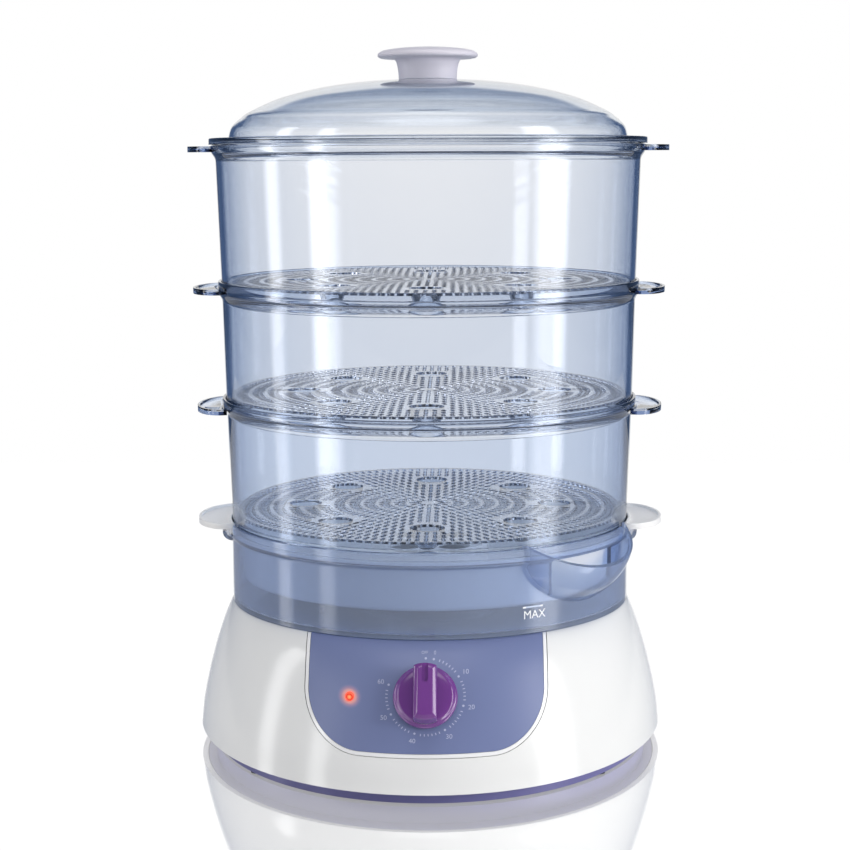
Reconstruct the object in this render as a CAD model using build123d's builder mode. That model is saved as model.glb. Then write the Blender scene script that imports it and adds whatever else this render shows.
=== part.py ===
from build123d import *
import os
from math import cos, hypot, pi, radians, sin, sqrt

# Electric food steamer. Millimetres, +Z up, front towards -Y.
# The origin lies on the floor, on the axis of the tank and the baskets.

# Fits shared by all pieces
seat_gap = 0.3  # between pieces that lift off each other
panel_gap = 0.2  # around inserts that share a body
shaft_play = 0.05  # radial running play of the timer shaft
bore_play = 0.1  # around screws and stems

# Housing: elliptical at the foot, round where it meets the tank
tank_r = 117.0
housing_half_width = 136.3
housing_half_depth = 162.0
housing_bottom_z = 10.0
housing_top_z = 81.0
housing_wall = 3.0
deck_thickness = 2.6
side_power, side_round = 1.4, 0.85  # how the side profile bulges
front_power, front_round = 1.1, 0.6  # how the front profile bulges
housing_levels = [0, 0.14, 0.31, 0.48, 0.63, 0.76, 0.86, 0.93, 0.975, 1]
heater_opening_r = 52.0

# Control panel
panel_half_width = 63.2
panel_bottom_z = 30.0
panel_corner_r = 28.0
bezel_width = 2.0
panel_inner_r = tank_r - 3.4
knob_z = 56.8
lamp_x, lamp_z = -40.5, 55.5

# Timer knob and clockwork
knob_r = 17.2
knob_flange = 2.2
knob_lift = 0.6  # from the panel to the knob's back
knob_height = 15.0
grip_width = 12.8
notch_width, notch_length, notch_depth = 3.4, 8.6, 1.2
shaft_r = 3.0
shaft_reach = 11.0
timer_stand_off = 8.0
bracket_thickness = 1.2
timer_r = 20.5
timer_depth = 21.0
timer_boss_x = 24.0
bush_r = 5.0
bell_r, bell_depth, bell_wall = 16.0, 6.0, 0.8

# Indicator lamp
lens_r = 2.6
lens_rise = 1.0
lens_flange_r = 4.2
lamp_body_r = 4.4
lamp_length = 14.0
bulb_r = 2.4

# Underside
cover_thickness = 2.5
foot_half_width, foot_half_depth = 128.0, 148.0
foot_width = 9.0
foot_clearance = 1.0  # foot ring above the floor
pad_r = 4.0
pad_height = 3.4
pad_angles = [40, 140, 220, 320]
post_x, post_y, post_r = 74.0, 74.0, 5.0
screw_r = 1.7
screw_head_r = 3.4
screw_head = 2.2

# Cord inlet at the back
inlet_z = 27.0
inlet_pad_r = 12.0
inlet_hole_r = 6.5
gland_bore_r = 3.6
inlet_face_y = housing_half_depth - 8.0
inlet_depth = 8.0

# Water tank
tank_wall = 2.5
tank_floor = 2.5
tank_rim_z = 129.0
ledge_z = 121.8
collar_r = 118.9
collar_wall = 1.8
heater_hole_r = 45.0
tank_screw_radius = 85.0
tank_pad_r = 6.0
tank_pad_height = 6.5
notch_half_y = 37.0
lug_r = 122.8
lug_bottom_z = 113.0
lug_rise = 21.5
lug_wall = 2.0

# Water inlet scoop on the tank's front
scoop_azimuth = 49.0
scoop_r = 52.0
scoop_inset = 32.0
scoop_drop = 40.6
scoop_z = 126.5
scoop_wall = 2.2
scoop_slope = 29.0
scoop_lip_r = 117.0
window_half_width = 27.0

# Heater
heater_plate_r = 49.0
heater_plate_thickness = 1.5
seal_height = 2.0
element_r, element_tube_r = 33.0, 3.6
element_leg = 22.0
stud_radius, stud_r = 41.5, 2.0
clamp_inner_r, clamp_outer_r, clamp_thickness = 38.0, 59.0, 2.0
nut_height, nut_flats_r = 3.2, 3.5
thermostat_r, thermostat_height = 9.0, 12.0
fuse_r, fuse_length = 2.0, 13.0

# Drip tray
tray_flange = 1.7
tray_wall = 1.8
tray_r = 113.4
tray_bottom_r = 110.6
tray_bottom_z = 95.6
chimney_r = 33.0
chimney_rise = 18.0
tray_ear_tip = 137.1
tray_ear_z = 126.0
ear_half_y = 34.0
ear_web = 1.9
ear_lip = 1.7
ear_rise = 3.3

# Baskets, from the bottom up: outer radius at the foot and slope of the wall
basket_wall = 2.4
basket_foot_r = [116.4, 118.9, 120.4]
basket_slope = [0.0326, 0.0232, 0.0324]
basket_top_z = [200.8, 268.8, 346.2]
basket_seat_z = [196.1, 261.5]
basket_ear_tip = [136.4, 137.7, 139.3]
basket_ear_z = [192.6, 261.5, 342.4]
skirt_bottom_z = [None, 189.0, 255.0]
skirt_wall = 1.8
skirt_taper = 2.0
skirt_clearance = 0.7
flare_height = 3.6
basket_collar_wall = 1.8
ledge_thickness = 1.8
ledge_inner_r = 110.8
first_ledge_z = 130.1

# Steaming plates
plate_rim_gap = 0.6
plate_thickness = 1.6
comb_height = 2.7
comb_width = 1.5
comb_teeth = 60
hole_rings = 8
hole_pitch = 13.6
holes_per_ring = 9
slot_length = 8.4
slot_width = 2.6
cup_count = 8
cup_radius = 74.0
cup_rim_r = 9.8
cup_foot_r = 5.0
cup_depth = 4.0
cup_wall = 1.8

# Lid
lid_flange_r = 126.7
lid_bottom_z = 346.5
lid_flange = 3.8
lid_plate = 1.8
lid_lip = 2.2
lid_dome_r = 115.3
lid_dome_height = 33.3
lid_wall = 2.2
lid_skirt_depth = 5.0
dome_shape = [(1, 0), (0.99, 0.14), (0.974, 0.23), (0.939, 0.336), (0.889, 0.456)]
dome_shape += [(0.739, 0.684), (0.539, 0.856), (0.339, 0.952), (0.144, 0.994), (0, 1)]
knob_neck_r = 16.7
neck_top_r = 18.3
lid_knob_r = 29.1
neck_height = 11.8
lid_knob_height = 6.5
stem_r = 5.0
snap_lip = 0.9

# Wiring
wire_r = 1.3
lead_z, lead_bend = 42.0, 6.0
terminal_x, terminal_y = 30.0, 100.0
terminal_length, terminal_width, terminal_height = 34.0, 18.0, 13.0
terminal_hole_r, terminal_hole_depth = 2.4, 6.0
terminal_recess = 1.0

deck_bottom_z = housing_top_z - deck_thickness
tank_floor_z = housing_top_z + tank_floor
plate_z = tank_floor_z + seal_height
cover_top_z = housing_bottom_z + cover_thickness
lid_dome_z = lid_bottom_z + lid_flange
dome_top_z = lid_dome_z + lid_dome_height


def save(part, name):
    """Label a finished piece and write it as one STEP file."""
    part.label = name
    export_step(part, f"parts/{name}.step")


def half_axes(z, inset=0.0):
    """Half width and half depth of the housing's outer skin at height z."""
    share = min(max((z - housing_bottom_z) / (housing_top_z - housing_bottom_z), 0), 1)
    side = (1 - share**side_power) ** side_round
    front = (1 - share**front_power) ** front_round
    half_x = tank_r + (housing_half_width - tank_r) * side
    half_y = tank_r + (housing_half_depth - tank_r) * front
    return half_x - inset, half_y - inset


def skin_y(x, z):
    """Y of the housing's front skin at a given x and height."""
    half_x, half_y = half_axes(z)
    return -half_y * sqrt(1 - (x / half_x) ** 2)


def skin_plane(x, z, step=0.5):
    """Plane that touches the front skin, with its normal pointing outwards."""
    across = (skin_y(x + step, z) - skin_y(x - step, z)) / (2 * step)
    along = (skin_y(x, z + step) - skin_y(x, z - step)) / (2 * step)
    return Plane(origin=(x, skin_y(x, z), z), x_dir=(1, across, 0), z_dir=(across, -1, along))


def housing_form(inset, low_z, high_z):
    """Solid lofted through the housing's elliptical sections."""
    with BuildPart() as form:
        for level in housing_levels:
            z = low_z + level * (high_z - low_z)
            with BuildSketch(Plane.XY.offset(z)):
                Ellipse(*half_axes(z, inset))
        loft()
    return form.part


def panel_block(grow, inner_r):
    """Upright block behind the panel's outline, outside a cylinder about the axis."""
    low_z = panel_bottom_z - grow
    with BuildPart() as block:
        with BuildSketch(Plane.XZ.offset(tank_r / 2)):
            with Locations((0, (low_z + housing_top_z) / 2)):
                Rectangle(2 * (panel_half_width + grow), housing_top_z - low_z)
            fillet(vertices().group_by(Axis.Y)[0], panel_corner_r + grow)
        extrude(amount=housing_half_depth)
        Cylinder(inner_r, 4 * housing_top_z, mode=Mode.SUBTRACT)
    return block.part


def ellipse_point(half_x, half_y, angle):
    return half_x * cos(radians(angle)), half_y * sin(radians(angle))


os.makedirs("parts", exist_ok=True)

knob_plane = skin_plane(0, knob_z)
lamp_plane = skin_plane(lamp_x, lamp_z)
outer_form = housing_form(0, housing_bottom_z, housing_top_z)
inner_form = housing_form(housing_wall, housing_bottom_z - 1, deck_bottom_z)
posts = [(post_x, post_y), (-post_x, post_y), (-post_x, -post_y), (post_x, -post_y)]

# Housing: glossy shell with a deck under the tank and four posts for the cover screws
opening = panel_block(bezel_width + 2 * panel_gap, panel_inner_r - panel_gap)
with BuildPart() as housing:
    add(outer_form)
    add(inner_form, mode=Mode.SUBTRACT)
    with Locations((0, inlet_face_y - inlet_depth / 2, inlet_z)):
        Cylinder(inlet_pad_r, inlet_depth, rotation=(90, 0, 0))
    with Locations((0, inlet_face_y + 10, inlet_z)):
        Cylinder(inlet_pad_r - 1.5, 20, rotation=(90, 0, 0), mode=Mode.SUBTRACT)
    with Locations((0, inlet_face_y, inlet_z)):
        Cylinder(inlet_hole_r, 60, rotation=(90, 0, 0), mode=Mode.SUBTRACT)
    with BuildSketch(Plane.XY.offset(cover_top_z)):
        with Locations(*posts):
            Circle(post_r)
    extrude(amount=deck_bottom_z - cover_top_z + deck_thickness / 2)
    with BuildSketch(Plane.XY.offset(cover_top_z)):
        with Locations(*posts):
            Circle(screw_r + bore_play)
    extrude(amount=16, mode=Mode.SUBTRACT)
    with BuildSketch(Plane.XY.offset(deck_bottom_z)):
        Circle(heater_opening_r)
        with PolarLocations(tank_screw_radius, 4, start_angle=45):
            Circle(screw_r + bore_play)
    extrude(amount=deck_thickness, mode=Mode.SUBTRACT)
    add(opening, mode=Mode.SUBTRACT)
save(housing.part, "housing")

# Shell slice that the panel and its bezel are cut from
with BuildPart() as shell:
    add(outer_form)
    add(inner_form, mode=Mode.SUBTRACT)

# Bezel: pale frame between the panel and the housing
frame_block = panel_block(bezel_width, panel_inner_r) - panel_block(panel_gap, 1)
with BuildPart() as panel_bezel:
    add(shell.part)
    add(frame_block, mode=Mode.INTERSECT)
save(panel_bezel.part, "panel_bezel")

# Control panel: curved insert with two bosses for the timer bracket
with BuildPart() as timer_bosses:
    with BuildSketch(knob_plane.offset(-timer_stand_off)):
        with Locations((timer_boss_x, 0), (-timer_boss_x, 0)):
            Circle(3.6)
    extrude(amount=timer_stand_off)
    add(outer_form, mode=Mode.INTERSECT)
with BuildPart() as control_panel:
    add(shell.part)
    add(panel_block(0, panel_inner_r), mode=Mode.INTERSECT)
    add(timer_bosses.part)
    with BuildSketch(knob_plane.offset(-timer_stand_off)):
        with Locations((timer_boss_x, 0), (-timer_boss_x, 0)):
            Circle(1.3)
    extrude(amount=4.5, mode=Mode.SUBTRACT)
    with BuildSketch(knob_plane.offset(-timer_stand_off)):
        Circle(bush_r + 1)
    extrude(amount=2 * timer_stand_off, mode=Mode.SUBTRACT)
    with BuildSketch(lamp_plane.offset(-timer_stand_off)):
        Circle(lens_r + bore_play)
    extrude(amount=2 * timer_stand_off, mode=Mode.SUBTRACT)
save(control_panel.part, "control_panel")

# Timer: clockwork on a bracket, with its bell behind
bracket_back = -timer_stand_off - bracket_thickness
with BuildPart() as timer_bracket:
    with BuildSketch(knob_plane.offset(bracket_back)):
        SlotOverall(2 * timer_boss_x + 14, 14)
        Circle(bush_r + 5)
        Circle(bush_r + bore_play, mode=Mode.SUBTRACT)
        with Locations((timer_boss_x, 0), (-timer_boss_x, 0)):
            Circle(1.5, mode=Mode.SUBTRACT)
    extrude(amount=bracket_thickness)
save(timer_bracket.part, "timer_bracket")

with BuildPart() as timer_body:
    with BuildSketch(knob_plane.offset(bracket_back - timer_depth)):
        Circle(timer_r)
    extrude(amount=timer_depth)
    with BuildSketch(knob_plane.offset(bracket_back)):
        Circle(bush_r)
    extrude(amount=timer_stand_off)
    with BuildSketch(knob_plane.offset(bracket_back - 5)):
        Circle(shaft_r + shaft_play)
    extrude(amount=timer_stand_off + 10, mode=Mode.SUBTRACT)
save(timer_body.part, "timer_body")

with BuildPart() as timer_bell:
    with BuildSketch(knob_plane.offset(bracket_back - timer_depth - bell_depth)):
        Circle(bell_r)
    extrude(amount=bell_depth - seat_gap)
    with BuildSketch(knob_plane.offset(bracket_back - timer_depth - bell_depth + bell_wall)):
        Circle(bell_r - bell_wall)
        Circle(2.5, mode=Mode.SUBTRACT)
    extrude(amount=bell_depth, mode=Mode.SUBTRACT)
save(timer_bell.part, "timer_bell")

with BuildPart() as timer_screws:
    with BuildSketch(knob_plane.offset(bracket_back)):
        with Locations((timer_boss_x, 0), (-timer_boss_x, 0)):
            Circle(1.2)
    extrude(amount=bracket_thickness + 4)
    with BuildSketch(knob_plane.offset(bracket_back - 1.6)):
        with Locations((timer_boss_x, 0), (-timer_boss_x, 0)):
            Circle(2.6)
    extrude(amount=1.6)
save(timer_screws.part, "timer_screws")

# Knob and shaft turn together
with BuildPart() as timer_shaft:
    with BuildSketch(knob_plane.offset(bracket_back - 4)):
        Circle(shaft_r)
    extrude(amount=shaft_reach - bracket_back + 4)
save(timer_shaft.part, "timer_shaft")

with BuildPart() as timer_knob:
    with BuildSketch(knob_plane.offset(knob_lift)):
        Circle(knob_r)
    extrude(amount=knob_flange)
    chamfer(edges().group_by(SortBy.LENGTH)[-1], 0.5)
    with BuildSketch(knob_plane.offset(knob_lift + knob_flange)):
        Circle(knob_r - 1.3)
    extrude(amount=2.2, taper=12)
    with BuildSketch(knob_plane.offset(knob_lift + knob_flange)):
        Circle(knob_r - 1.3)
        Rectangle(grip_width, 3 * knob_r, mode=Mode.INTERSECT)
    extrude(amount=knob_height - knob_flange, taper=4)
    with BuildSketch(knob_plane.offset(knob_lift + knob_height - notch_depth)):
        with Locations((0, knob_r - 3 - notch_length / 2)):
            SlotOverall(notch_length, notch_width, rotation=90)
    extrude(amount=2 * notch_depth, mode=Mode.SUBTRACT)
    with BuildSketch(knob_plane.offset(knob_lift)):
        Circle(shaft_r + 0.02)
    extrude(amount=shaft_reach - knob_lift + seat_gap, mode=Mode.SUBTRACT)
save(timer_knob.part, "timer_knob")

# Indicator lamp: lens pressed in from behind, neon lamp in its holder
with BuildPart() as indicator_lens:
    with BuildSketch(lamp_plane.offset(-housing_wall - 1.6)):
        Circle(lens_flange_r)
    extrude(amount=1.3)
    with BuildSketch(lamp_plane.offset(-housing_wall - 0.4)):
        Circle(lens_r)
    extrude(amount=housing_wall + 0.4 + lens_rise)
    fillet(edges().sort_by(Axis(lamp_plane.origin, lamp_plane.z_dir))[-1], 0.8)
save(indicator_lens.part, "indicator_lens")

holder_top = -housing_wall - 1.6
with BuildPart() as lamp_holder:
    with BuildSketch(lamp_plane.offset(holder_top - lamp_length)):
        Circle(lamp_body_r)
    extrude(amount=lamp_length)
    with BuildSketch(lamp_plane.offset(holder_top - lamp_length + 2)):
        Circle(bulb_r + 2 * bore_play)
    extrude(amount=lamp_length, mode=Mode.SUBTRACT)
save(lamp_holder.part, "lamp_holder")

with BuildPart() as neon_lamp:
    with BuildSketch(lamp_plane.offset(holder_top - lamp_length + 2)):
        Circle(bulb_r)
    extrude(amount=lamp_length - 3)
    fillet(edges().sort_by(Axis(lamp_plane.origin, lamp_plane.z_dir))[-1], 1.5)
save(neon_lamp.part, "neon_lamp")

# Bottom cover, foot ring, rubber pads and the screws that hold the cover
with BuildPart() as bottom_cover:
    with BuildSketch(Plane.XY.offset(housing_bottom_z)):
        Ellipse(*half_axes(cover_top_z + 1, housing_wall + seat_gap))
    extrude(amount=cover_thickness)
    with BuildSketch(Plane.XY.offset(housing_bottom_z)):
        with Locations(*posts):
            Circle(screw_r + bore_play)
        with GridLocations(60, 9, 2, 7):
            SlotOverall(34, 3)
    extrude(amount=cover_thickness, mode=Mode.SUBTRACT)
    with BuildSketch(Plane.XY.offset(cover_top_z - terminal_recess)):
        with Locations((terminal_x, terminal_y)):
            Rectangle(terminal_length + 2 * seat_gap, terminal_width + 2 * seat_gap)
    extrude(amount=terminal_recess, mode=Mode.SUBTRACT)
save(bottom_cover.part, "bottom_cover")

pad_points = [
    ellipse_point(foot_half_width - foot_width / 2, foot_half_depth - foot_width / 2, a) for a in pad_angles
]
with BuildPart() as foot_ring:
    with BuildSketch(Plane.XY.offset(foot_clearance)):
        Ellipse(foot_half_width, foot_half_depth)
        Ellipse(foot_half_width - foot_width, foot_half_depth - foot_width, mode=Mode.SUBTRACT)
    extrude(amount=housing_bottom_z - foot_clearance)
    with BuildSketch(Plane.XY.offset(foot_clearance)):
        with Locations(*pad_points):
            Circle(pad_r + bore_play)
    extrude(amount=pad_height - foot_clearance + bore_play, mode=Mode.SUBTRACT)
save(foot_ring.part, "foot_ring")

with BuildPart() as rubber_feet:
    with BuildSketch():
        with Locations(*pad_points):
            Circle(pad_r)
    extrude(amount=pad_height)
save(rubber_feet.part, "rubber_feet")

with BuildPart() as cover_screws:
    with BuildSketch(Plane.XY.offset(housing_bottom_z)):
        with Locations(*posts):
            Circle(screw_r)
    extrude(amount=cover_thickness + 12)
    with BuildSketch(Plane.XY.offset(housing_bottom_z - screw_head)):
        with Locations(*posts):
            Circle(screw_head_r)
    extrude(amount=screw_head)
save(cover_screws.part, "cover_screws")

# Cord gland: rubber bush in the flat pad of the rear wall
with BuildPart() as cord_gland:
    with BuildSketch(Plane.XZ.offset(-inlet_face_y)):
        with Locations((0, inlet_z)):
            Circle(inlet_pad_r - 2)
    extrude(amount=-3.2)
    with BuildSketch(Plane.XZ.offset(-inlet_face_y)):
        with Locations((0, inlet_z)):
            Circle(inlet_hole_r - bore_play)
    extrude(amount=inlet_depth + 2.4)
    with BuildSketch(Plane.XZ.offset(-inlet_face_y + inlet_depth + bore_play)):
        with Locations((0, inlet_z)):
            Circle(inlet_hole_r + 1.4)
    extrude(amount=2.3)
    with BuildSketch(Plane.XZ.offset(-inlet_face_y - 10)):
        with Locations((0, inlet_z)):
            Circle(gland_bore_r)
    extrude(amount=40, mode=Mode.SUBTRACT)
save(cord_gland.part, "cord_gland")

# Water tank: round bowl with a stepped collar, side lugs and the scoop
scoop_dir = radians(scoop_azimuth)
scoop_centre_r = tank_r - scoop_inset
scoop_x, scoop_y = scoop_centre_r * sin(scoop_dir), -scoop_centre_r * cos(scoop_dir)
scoop_plane = Plane(origin=(scoop_x, scoop_y, scoop_z), x_dir=(sin(scoop_dir), -cos(scoop_dir), 0), z_dir=(0, 0, 1))


def bowl(wide, deep):
    """Lower half of a round bowl about the scoop's own upright axis."""
    section = Plane(origin=scoop_plane.origin, x_dir=scoop_plane.x_dir, z_dir=(-cos(scoop_dir), -sin(scoop_dir), 0))
    with BuildPart() as half:
        with BuildSketch(section):
            Ellipse(wide, deep)
            with Locations((-wide, 0)):
                Rectangle(2 * wide, 2 * deep, mode=Mode.SUBTRACT)
            with Locations((0, deep)):
                Rectangle(2 * wide, 2 * deep, mode=Mode.SUBTRACT)
        revolve(axis=Axis(scoop_plane.origin, (0, 0, 1)))
    return half.part


slope_plane = Plane(
    origin=(scoop_lip_r * sin(scoop_dir), -scoop_lip_r * cos(scoop_dir), scoop_z),
    x_dir=(cos(scoop_dir), sin(scoop_dir), 0),
    z_dir=(
        sin(scoop_dir) * sin(radians(scoop_slope)),
        -cos(scoop_dir) * sin(radians(scoop_slope)),
        cos(radians(scoop_slope)),
    ),
)
bowl_inside = bowl(scoop_r - scoop_wall, scoop_drop - scoop_wall)
with BuildPart() as scoop:
    add(bowl(scoop_r, scoop_drop))
    add(bowl_inside, mode=Mode.SUBTRACT)
    with BuildSketch(slope_plane):
        Rectangle(4 * scoop_r, 4 * scoop_r)
    extrude(amount=scoop_r, mode=Mode.SUBTRACT)
    Cylinder(tank_r - tank_wall / 2, 4 * scoop_z, mode=Mode.SUBTRACT)
    with BuildSketch(Plane.XY.offset(ledge_z)):
        Circle(collar_r - collar_wall / 2)
    extrude(amount=scoop_drop, mode=Mode.SUBTRACT)

with BuildPart() as window:
    add(bowl_inside)
    with BuildSketch(scoop_plane.offset(-scoop_drop)):
        with Locations((scoop_inset, 0)):
            Rectangle(4 * tank_wall, 2 * window_half_width)
    extrude(amount=scoop_drop - (scoop_z - ledge_z) - 1, mode=Mode.INTERSECT)

# Lugs: half-moon pockets under the tray's ears
with BuildPart() as lug_ring:
    with BuildSketch(Plane.XZ):
        with BuildLine():
            lug_middle_z = (lug_bottom_z + ledge_z) / 2
            ThreePointArc((tank_r - 1, lug_bottom_z), (lug_r - 1.2, lug_middle_z), (lug_r, ledge_z))
            Line((lug_r, ledge_z), (lug_r - lug_wall, ledge_z))
            ThreePointArc(
                (lug_r - lug_wall, ledge_z),
                (lug_r - 1.2 - lug_wall, lug_middle_z + 1),
                (tank_r - 1, lug_bottom_z + 3),
            )
            Line((tank_r - 1, lug_bottom_z + 3), (tank_r - 1, lug_bottom_z))
        make_face()
    revolve(axis=Axis.Z)
with BuildPart() as lug_reach:
    with BuildSketch(Plane.YZ.offset(-2 * tank_r)):
        with Locations((0, lug_bottom_z + lug_rise)):
            Circle(lug_rise)
    extrude(amount=4 * tank_r)
lugs = lug_ring.part & lug_reach.part

with BuildPart() as water_tank:
    with BuildSketch(Plane.XZ):
        with BuildLine():
            Polyline(
                (heater_hole_r, housing_top_z),
                (tank_r, housing_top_z),
                (tank_r, ledge_z - 2.2),
                (collar_r, ledge_z - 0.6),
                (collar_r, tank_rim_z),
                (collar_r - collar_wall, tank_rim_z),
                (collar_r - collar_wall, ledge_z),
                (tank_r - tank_wall, ledge_z),
                (tank_r - tank_wall, tank_floor_z),
                (heater_hole_r, tank_floor_z),
                close=True,
            )
        make_face()
    revolve(axis=Axis.Z)
    with BuildSketch(Plane.XY.offset(tank_floor_z)):
        with PolarLocations(tank_screw_radius, 4, start_angle=45):
            Circle(tank_pad_r)
    extrude(amount=tank_pad_height)
    with BuildSketch(Plane.XY.offset(housing_top_z)):
        with PolarLocations(tank_screw_radius, 4, start_angle=45):
            Circle(screw_r + bore_play)
    extrude(amount=tank_pad_height, mode=Mode.SUBTRACT)
    add(lugs)
    add(scoop.part)
    add(window.part, mode=Mode.SUBTRACT)
    with BuildSketch(Plane.XY.offset(ledge_z)):
        Rectangle(4 * tank_r, 2 * notch_half_y)
    extrude(amount=2 * (tank_rim_z - ledge_z), mode=Mode.SUBTRACT)
save(water_tank.part, "water_tank")

with BuildPart() as tank_screws:
    with BuildSketch(Plane.XY.offset(deck_bottom_z)):
        with PolarLocations(tank_screw_radius, 4, start_angle=45):
            Circle(screw_r)
    extrude(amount=deck_thickness + tank_pad_height - 1)
    with BuildSketch(Plane.XY.offset(deck_bottom_z - screw_head)):
        with PolarLocations(tank_screw_radius, 4, start_angle=45):
            Circle(screw_head_r)
    extrude(amount=screw_head)
save(tank_screws.part, "tank_screws")

# Heater: seal, steel plate, element, thermostat, fuse, clamp ring and nuts
with BuildPart() as heater_seal:
    with BuildSketch(Plane.XY.offset(tank_floor_z)):
        Circle(heater_plate_r + 1)
        Circle(heater_hole_r, mode=Mode.SUBTRACT)
    extrude(amount=seal_height)
save(heater_seal.part, "heater_seal")

with BuildPart() as heater_plate:
    with BuildSketch(Plane.XY.offset(plate_z)):
        Circle(heater_plate_r)
    extrude(amount=heater_plate_thickness)
    with BuildSketch(Plane.XY.offset(plate_z)):
        with PolarLocations(stud_radius, 3, start_angle=30):
            Circle(stud_r)
    extrude(amount=-(plate_z - deck_bottom_z + clamp_thickness + nut_height + 1))
save(heater_plate.part, "heater_plate")

with BuildPart() as heating_element:
    with BuildSketch(Plane.XZ):
        with Locations((element_r, plate_z - element_tube_r - panel_gap)):
            Circle(element_tube_r)
    revolve(axis=Axis.Z, revolution_arc=330)
    with BuildSketch(Plane.XY.offset(plate_z - element_tube_r - panel_gap)):
        with Locations(Location((0, 0, 0), (0, 0, 6)), Location((0, 0, 0), (0, 0, 324))):
            with Locations((element_r, 0)):
                Circle(element_tube_r - 1)
    extrude(amount=-element_leg)
save(heating_element.part, "heating_element")

with BuildPart() as clamp_ring:
    with BuildSketch(Plane.XY.offset(deck_bottom_z - clamp_thickness)):
        Circle(clamp_outer_r)
        Circle(clamp_inner_r, mode=Mode.SUBTRACT)
        with PolarLocations(stud_radius, 3, start_angle=30):
            Circle(stud_r + bore_play, mode=Mode.SUBTRACT)
    extrude(amount=clamp_thickness)
save(clamp_ring.part, "clamp_ring")

with BuildPart() as clamp_nuts:
    with BuildSketch(Plane.XY.offset(deck_bottom_z - clamp_thickness - nut_height)):
        with PolarLocations(stud_radius, 3, start_angle=30):
            RegularPolygon(nut_flats_r, 6, major_radius=False)
            Circle(stud_r + bore_play, mode=Mode.SUBTRACT)
    extrude(amount=nut_height)
save(clamp_nuts.part, "clamp_nuts")

with BuildPart() as thermostat:
    with BuildSketch(Plane.XY.offset(plate_z - panel_gap)):
        Circle(thermostat_r)
    extrude(amount=-thermostat_height)
    with BuildSketch(Plane.XY.offset(plate_z - panel_gap - thermostat_height)):
        with Locations((5, 0), (-5, 0)):
            Rectangle(0.8, 6.3)
    extrude(amount=-8)
save(thermostat.part, "thermostat")

with BuildPart() as thermal_fuse:
    with BuildSketch(Plane.XZ.offset(-fuse_length / 2)):
        with Locations((18, plate_z - fuse_r - panel_gap)):
            Circle(fuse_r)
    extrude(amount=fuse_length)
save(thermal_fuse.part, "thermal_fuse")

# Drip tray: white bowl that hangs on the tank's ledge, with a steam chimney
tray_z = ledge_z + seat_gap
with BuildPart() as drip_tray:
    with BuildSketch(Plane.XZ):
        with BuildLine():
            Polyline(
                (chimney_r, tray_bottom_z),
                (tray_bottom_r, tray_bottom_z),
                (tray_r, tray_z),
                (collar_r - collar_wall - seat_gap, tray_z),
                (collar_r - collar_wall - seat_gap, tray_z + tray_flange),
                (tray_r - tray_wall, tray_z + tray_flange),
                (tray_bottom_r - tray_wall, tray_bottom_z + tray_wall),
                (chimney_r + tray_wall, tray_bottom_z + tray_wall),
                (chimney_r + tray_wall, tray_bottom_z + chimney_rise),
                (chimney_r, tray_bottom_z + chimney_rise),
                close=True,
            )
        make_face()
    revolve(axis=Axis.Z)
    with BuildSketch(Plane.XY.offset(tray_bottom_z + chimney_rise - 3)):
        Rectangle(2 * chimney_r + tray_wall, 4)
        Rectangle(4, 2 * chimney_r + tray_wall)
        Circle(9)
    extrude(amount=2)
    tray_root = basket_foot_r[0] + 0.9
    for side in (-1, 1):
        with BuildSketch(Plane.XY.offset(tray_z)):
            Circle(tray_root + tray_wall)
            Circle(tray_r, mode=Mode.SUBTRACT)
            with Locations((side * tank_r, 0)):
                Rectangle(tank_r, 2 * ear_half_y - 6, mode=Mode.INTERSECT)
        extrude(amount=tray_flange)
        with BuildSketch(Plane.XY.offset(tray_z)):
            Circle(tray_root + tray_wall)
            Circle(tray_root, mode=Mode.SUBTRACT)
            with Locations((side * tank_r, 0)):
                Rectangle(tank_r, 2 * ear_half_y - 6, mode=Mode.INTERSECT)
        extrude(amount=tray_ear_z + ear_web - tray_z)
        with BuildSketch(Plane.XY.offset(tray_ear_z)):
            with Locations((side * tray_root, 0)):
                Ellipse(tray_ear_tip - tray_root, ear_half_y)
            Circle(tray_root, mode=Mode.SUBTRACT)
        extrude(amount=ear_web)
        with BuildSketch(Plane.XY.offset(tray_ear_z)):
            with Locations((side * tray_root, 0)):
                Ellipse(tray_ear_tip - tray_root, ear_half_y)
                Ellipse(tray_ear_tip - tray_root - ear_lip, ear_half_y - ear_lip, mode=Mode.SUBTRACT)
            Circle(tray_root, mode=Mode.SUBTRACT)
        extrude(amount=ear_rise)
save(drip_tray.part, "drip_tray")


# Baskets: clear rings that stand in each other, each with a ledge for its plate
def wall_r(index, z):
    """Outer radius of a basket's wall at height z."""
    return basket_foot_r[index] + basket_slope[index] * (z - foot_z[index])


foot_z = [tray_z + tray_flange + seat_gap, basket_seat_z[0] + seat_gap, basket_seat_z[1] + seat_gap]
ledge_top_z = [first_ledge_z, foot_z[1] + ledge_thickness, foot_z[2] + ledge_thickness]
lid_lip_inner_r = lid_flange_r - lid_lip
collar_outer_r = [
    basket_foot_r[1] + seat_gap + 0.2 + basket_collar_wall,
    basket_foot_r[2] + seat_gap + 0.2 + basket_collar_wall,
    lid_lip_inner_r + 1.1,
]


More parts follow.
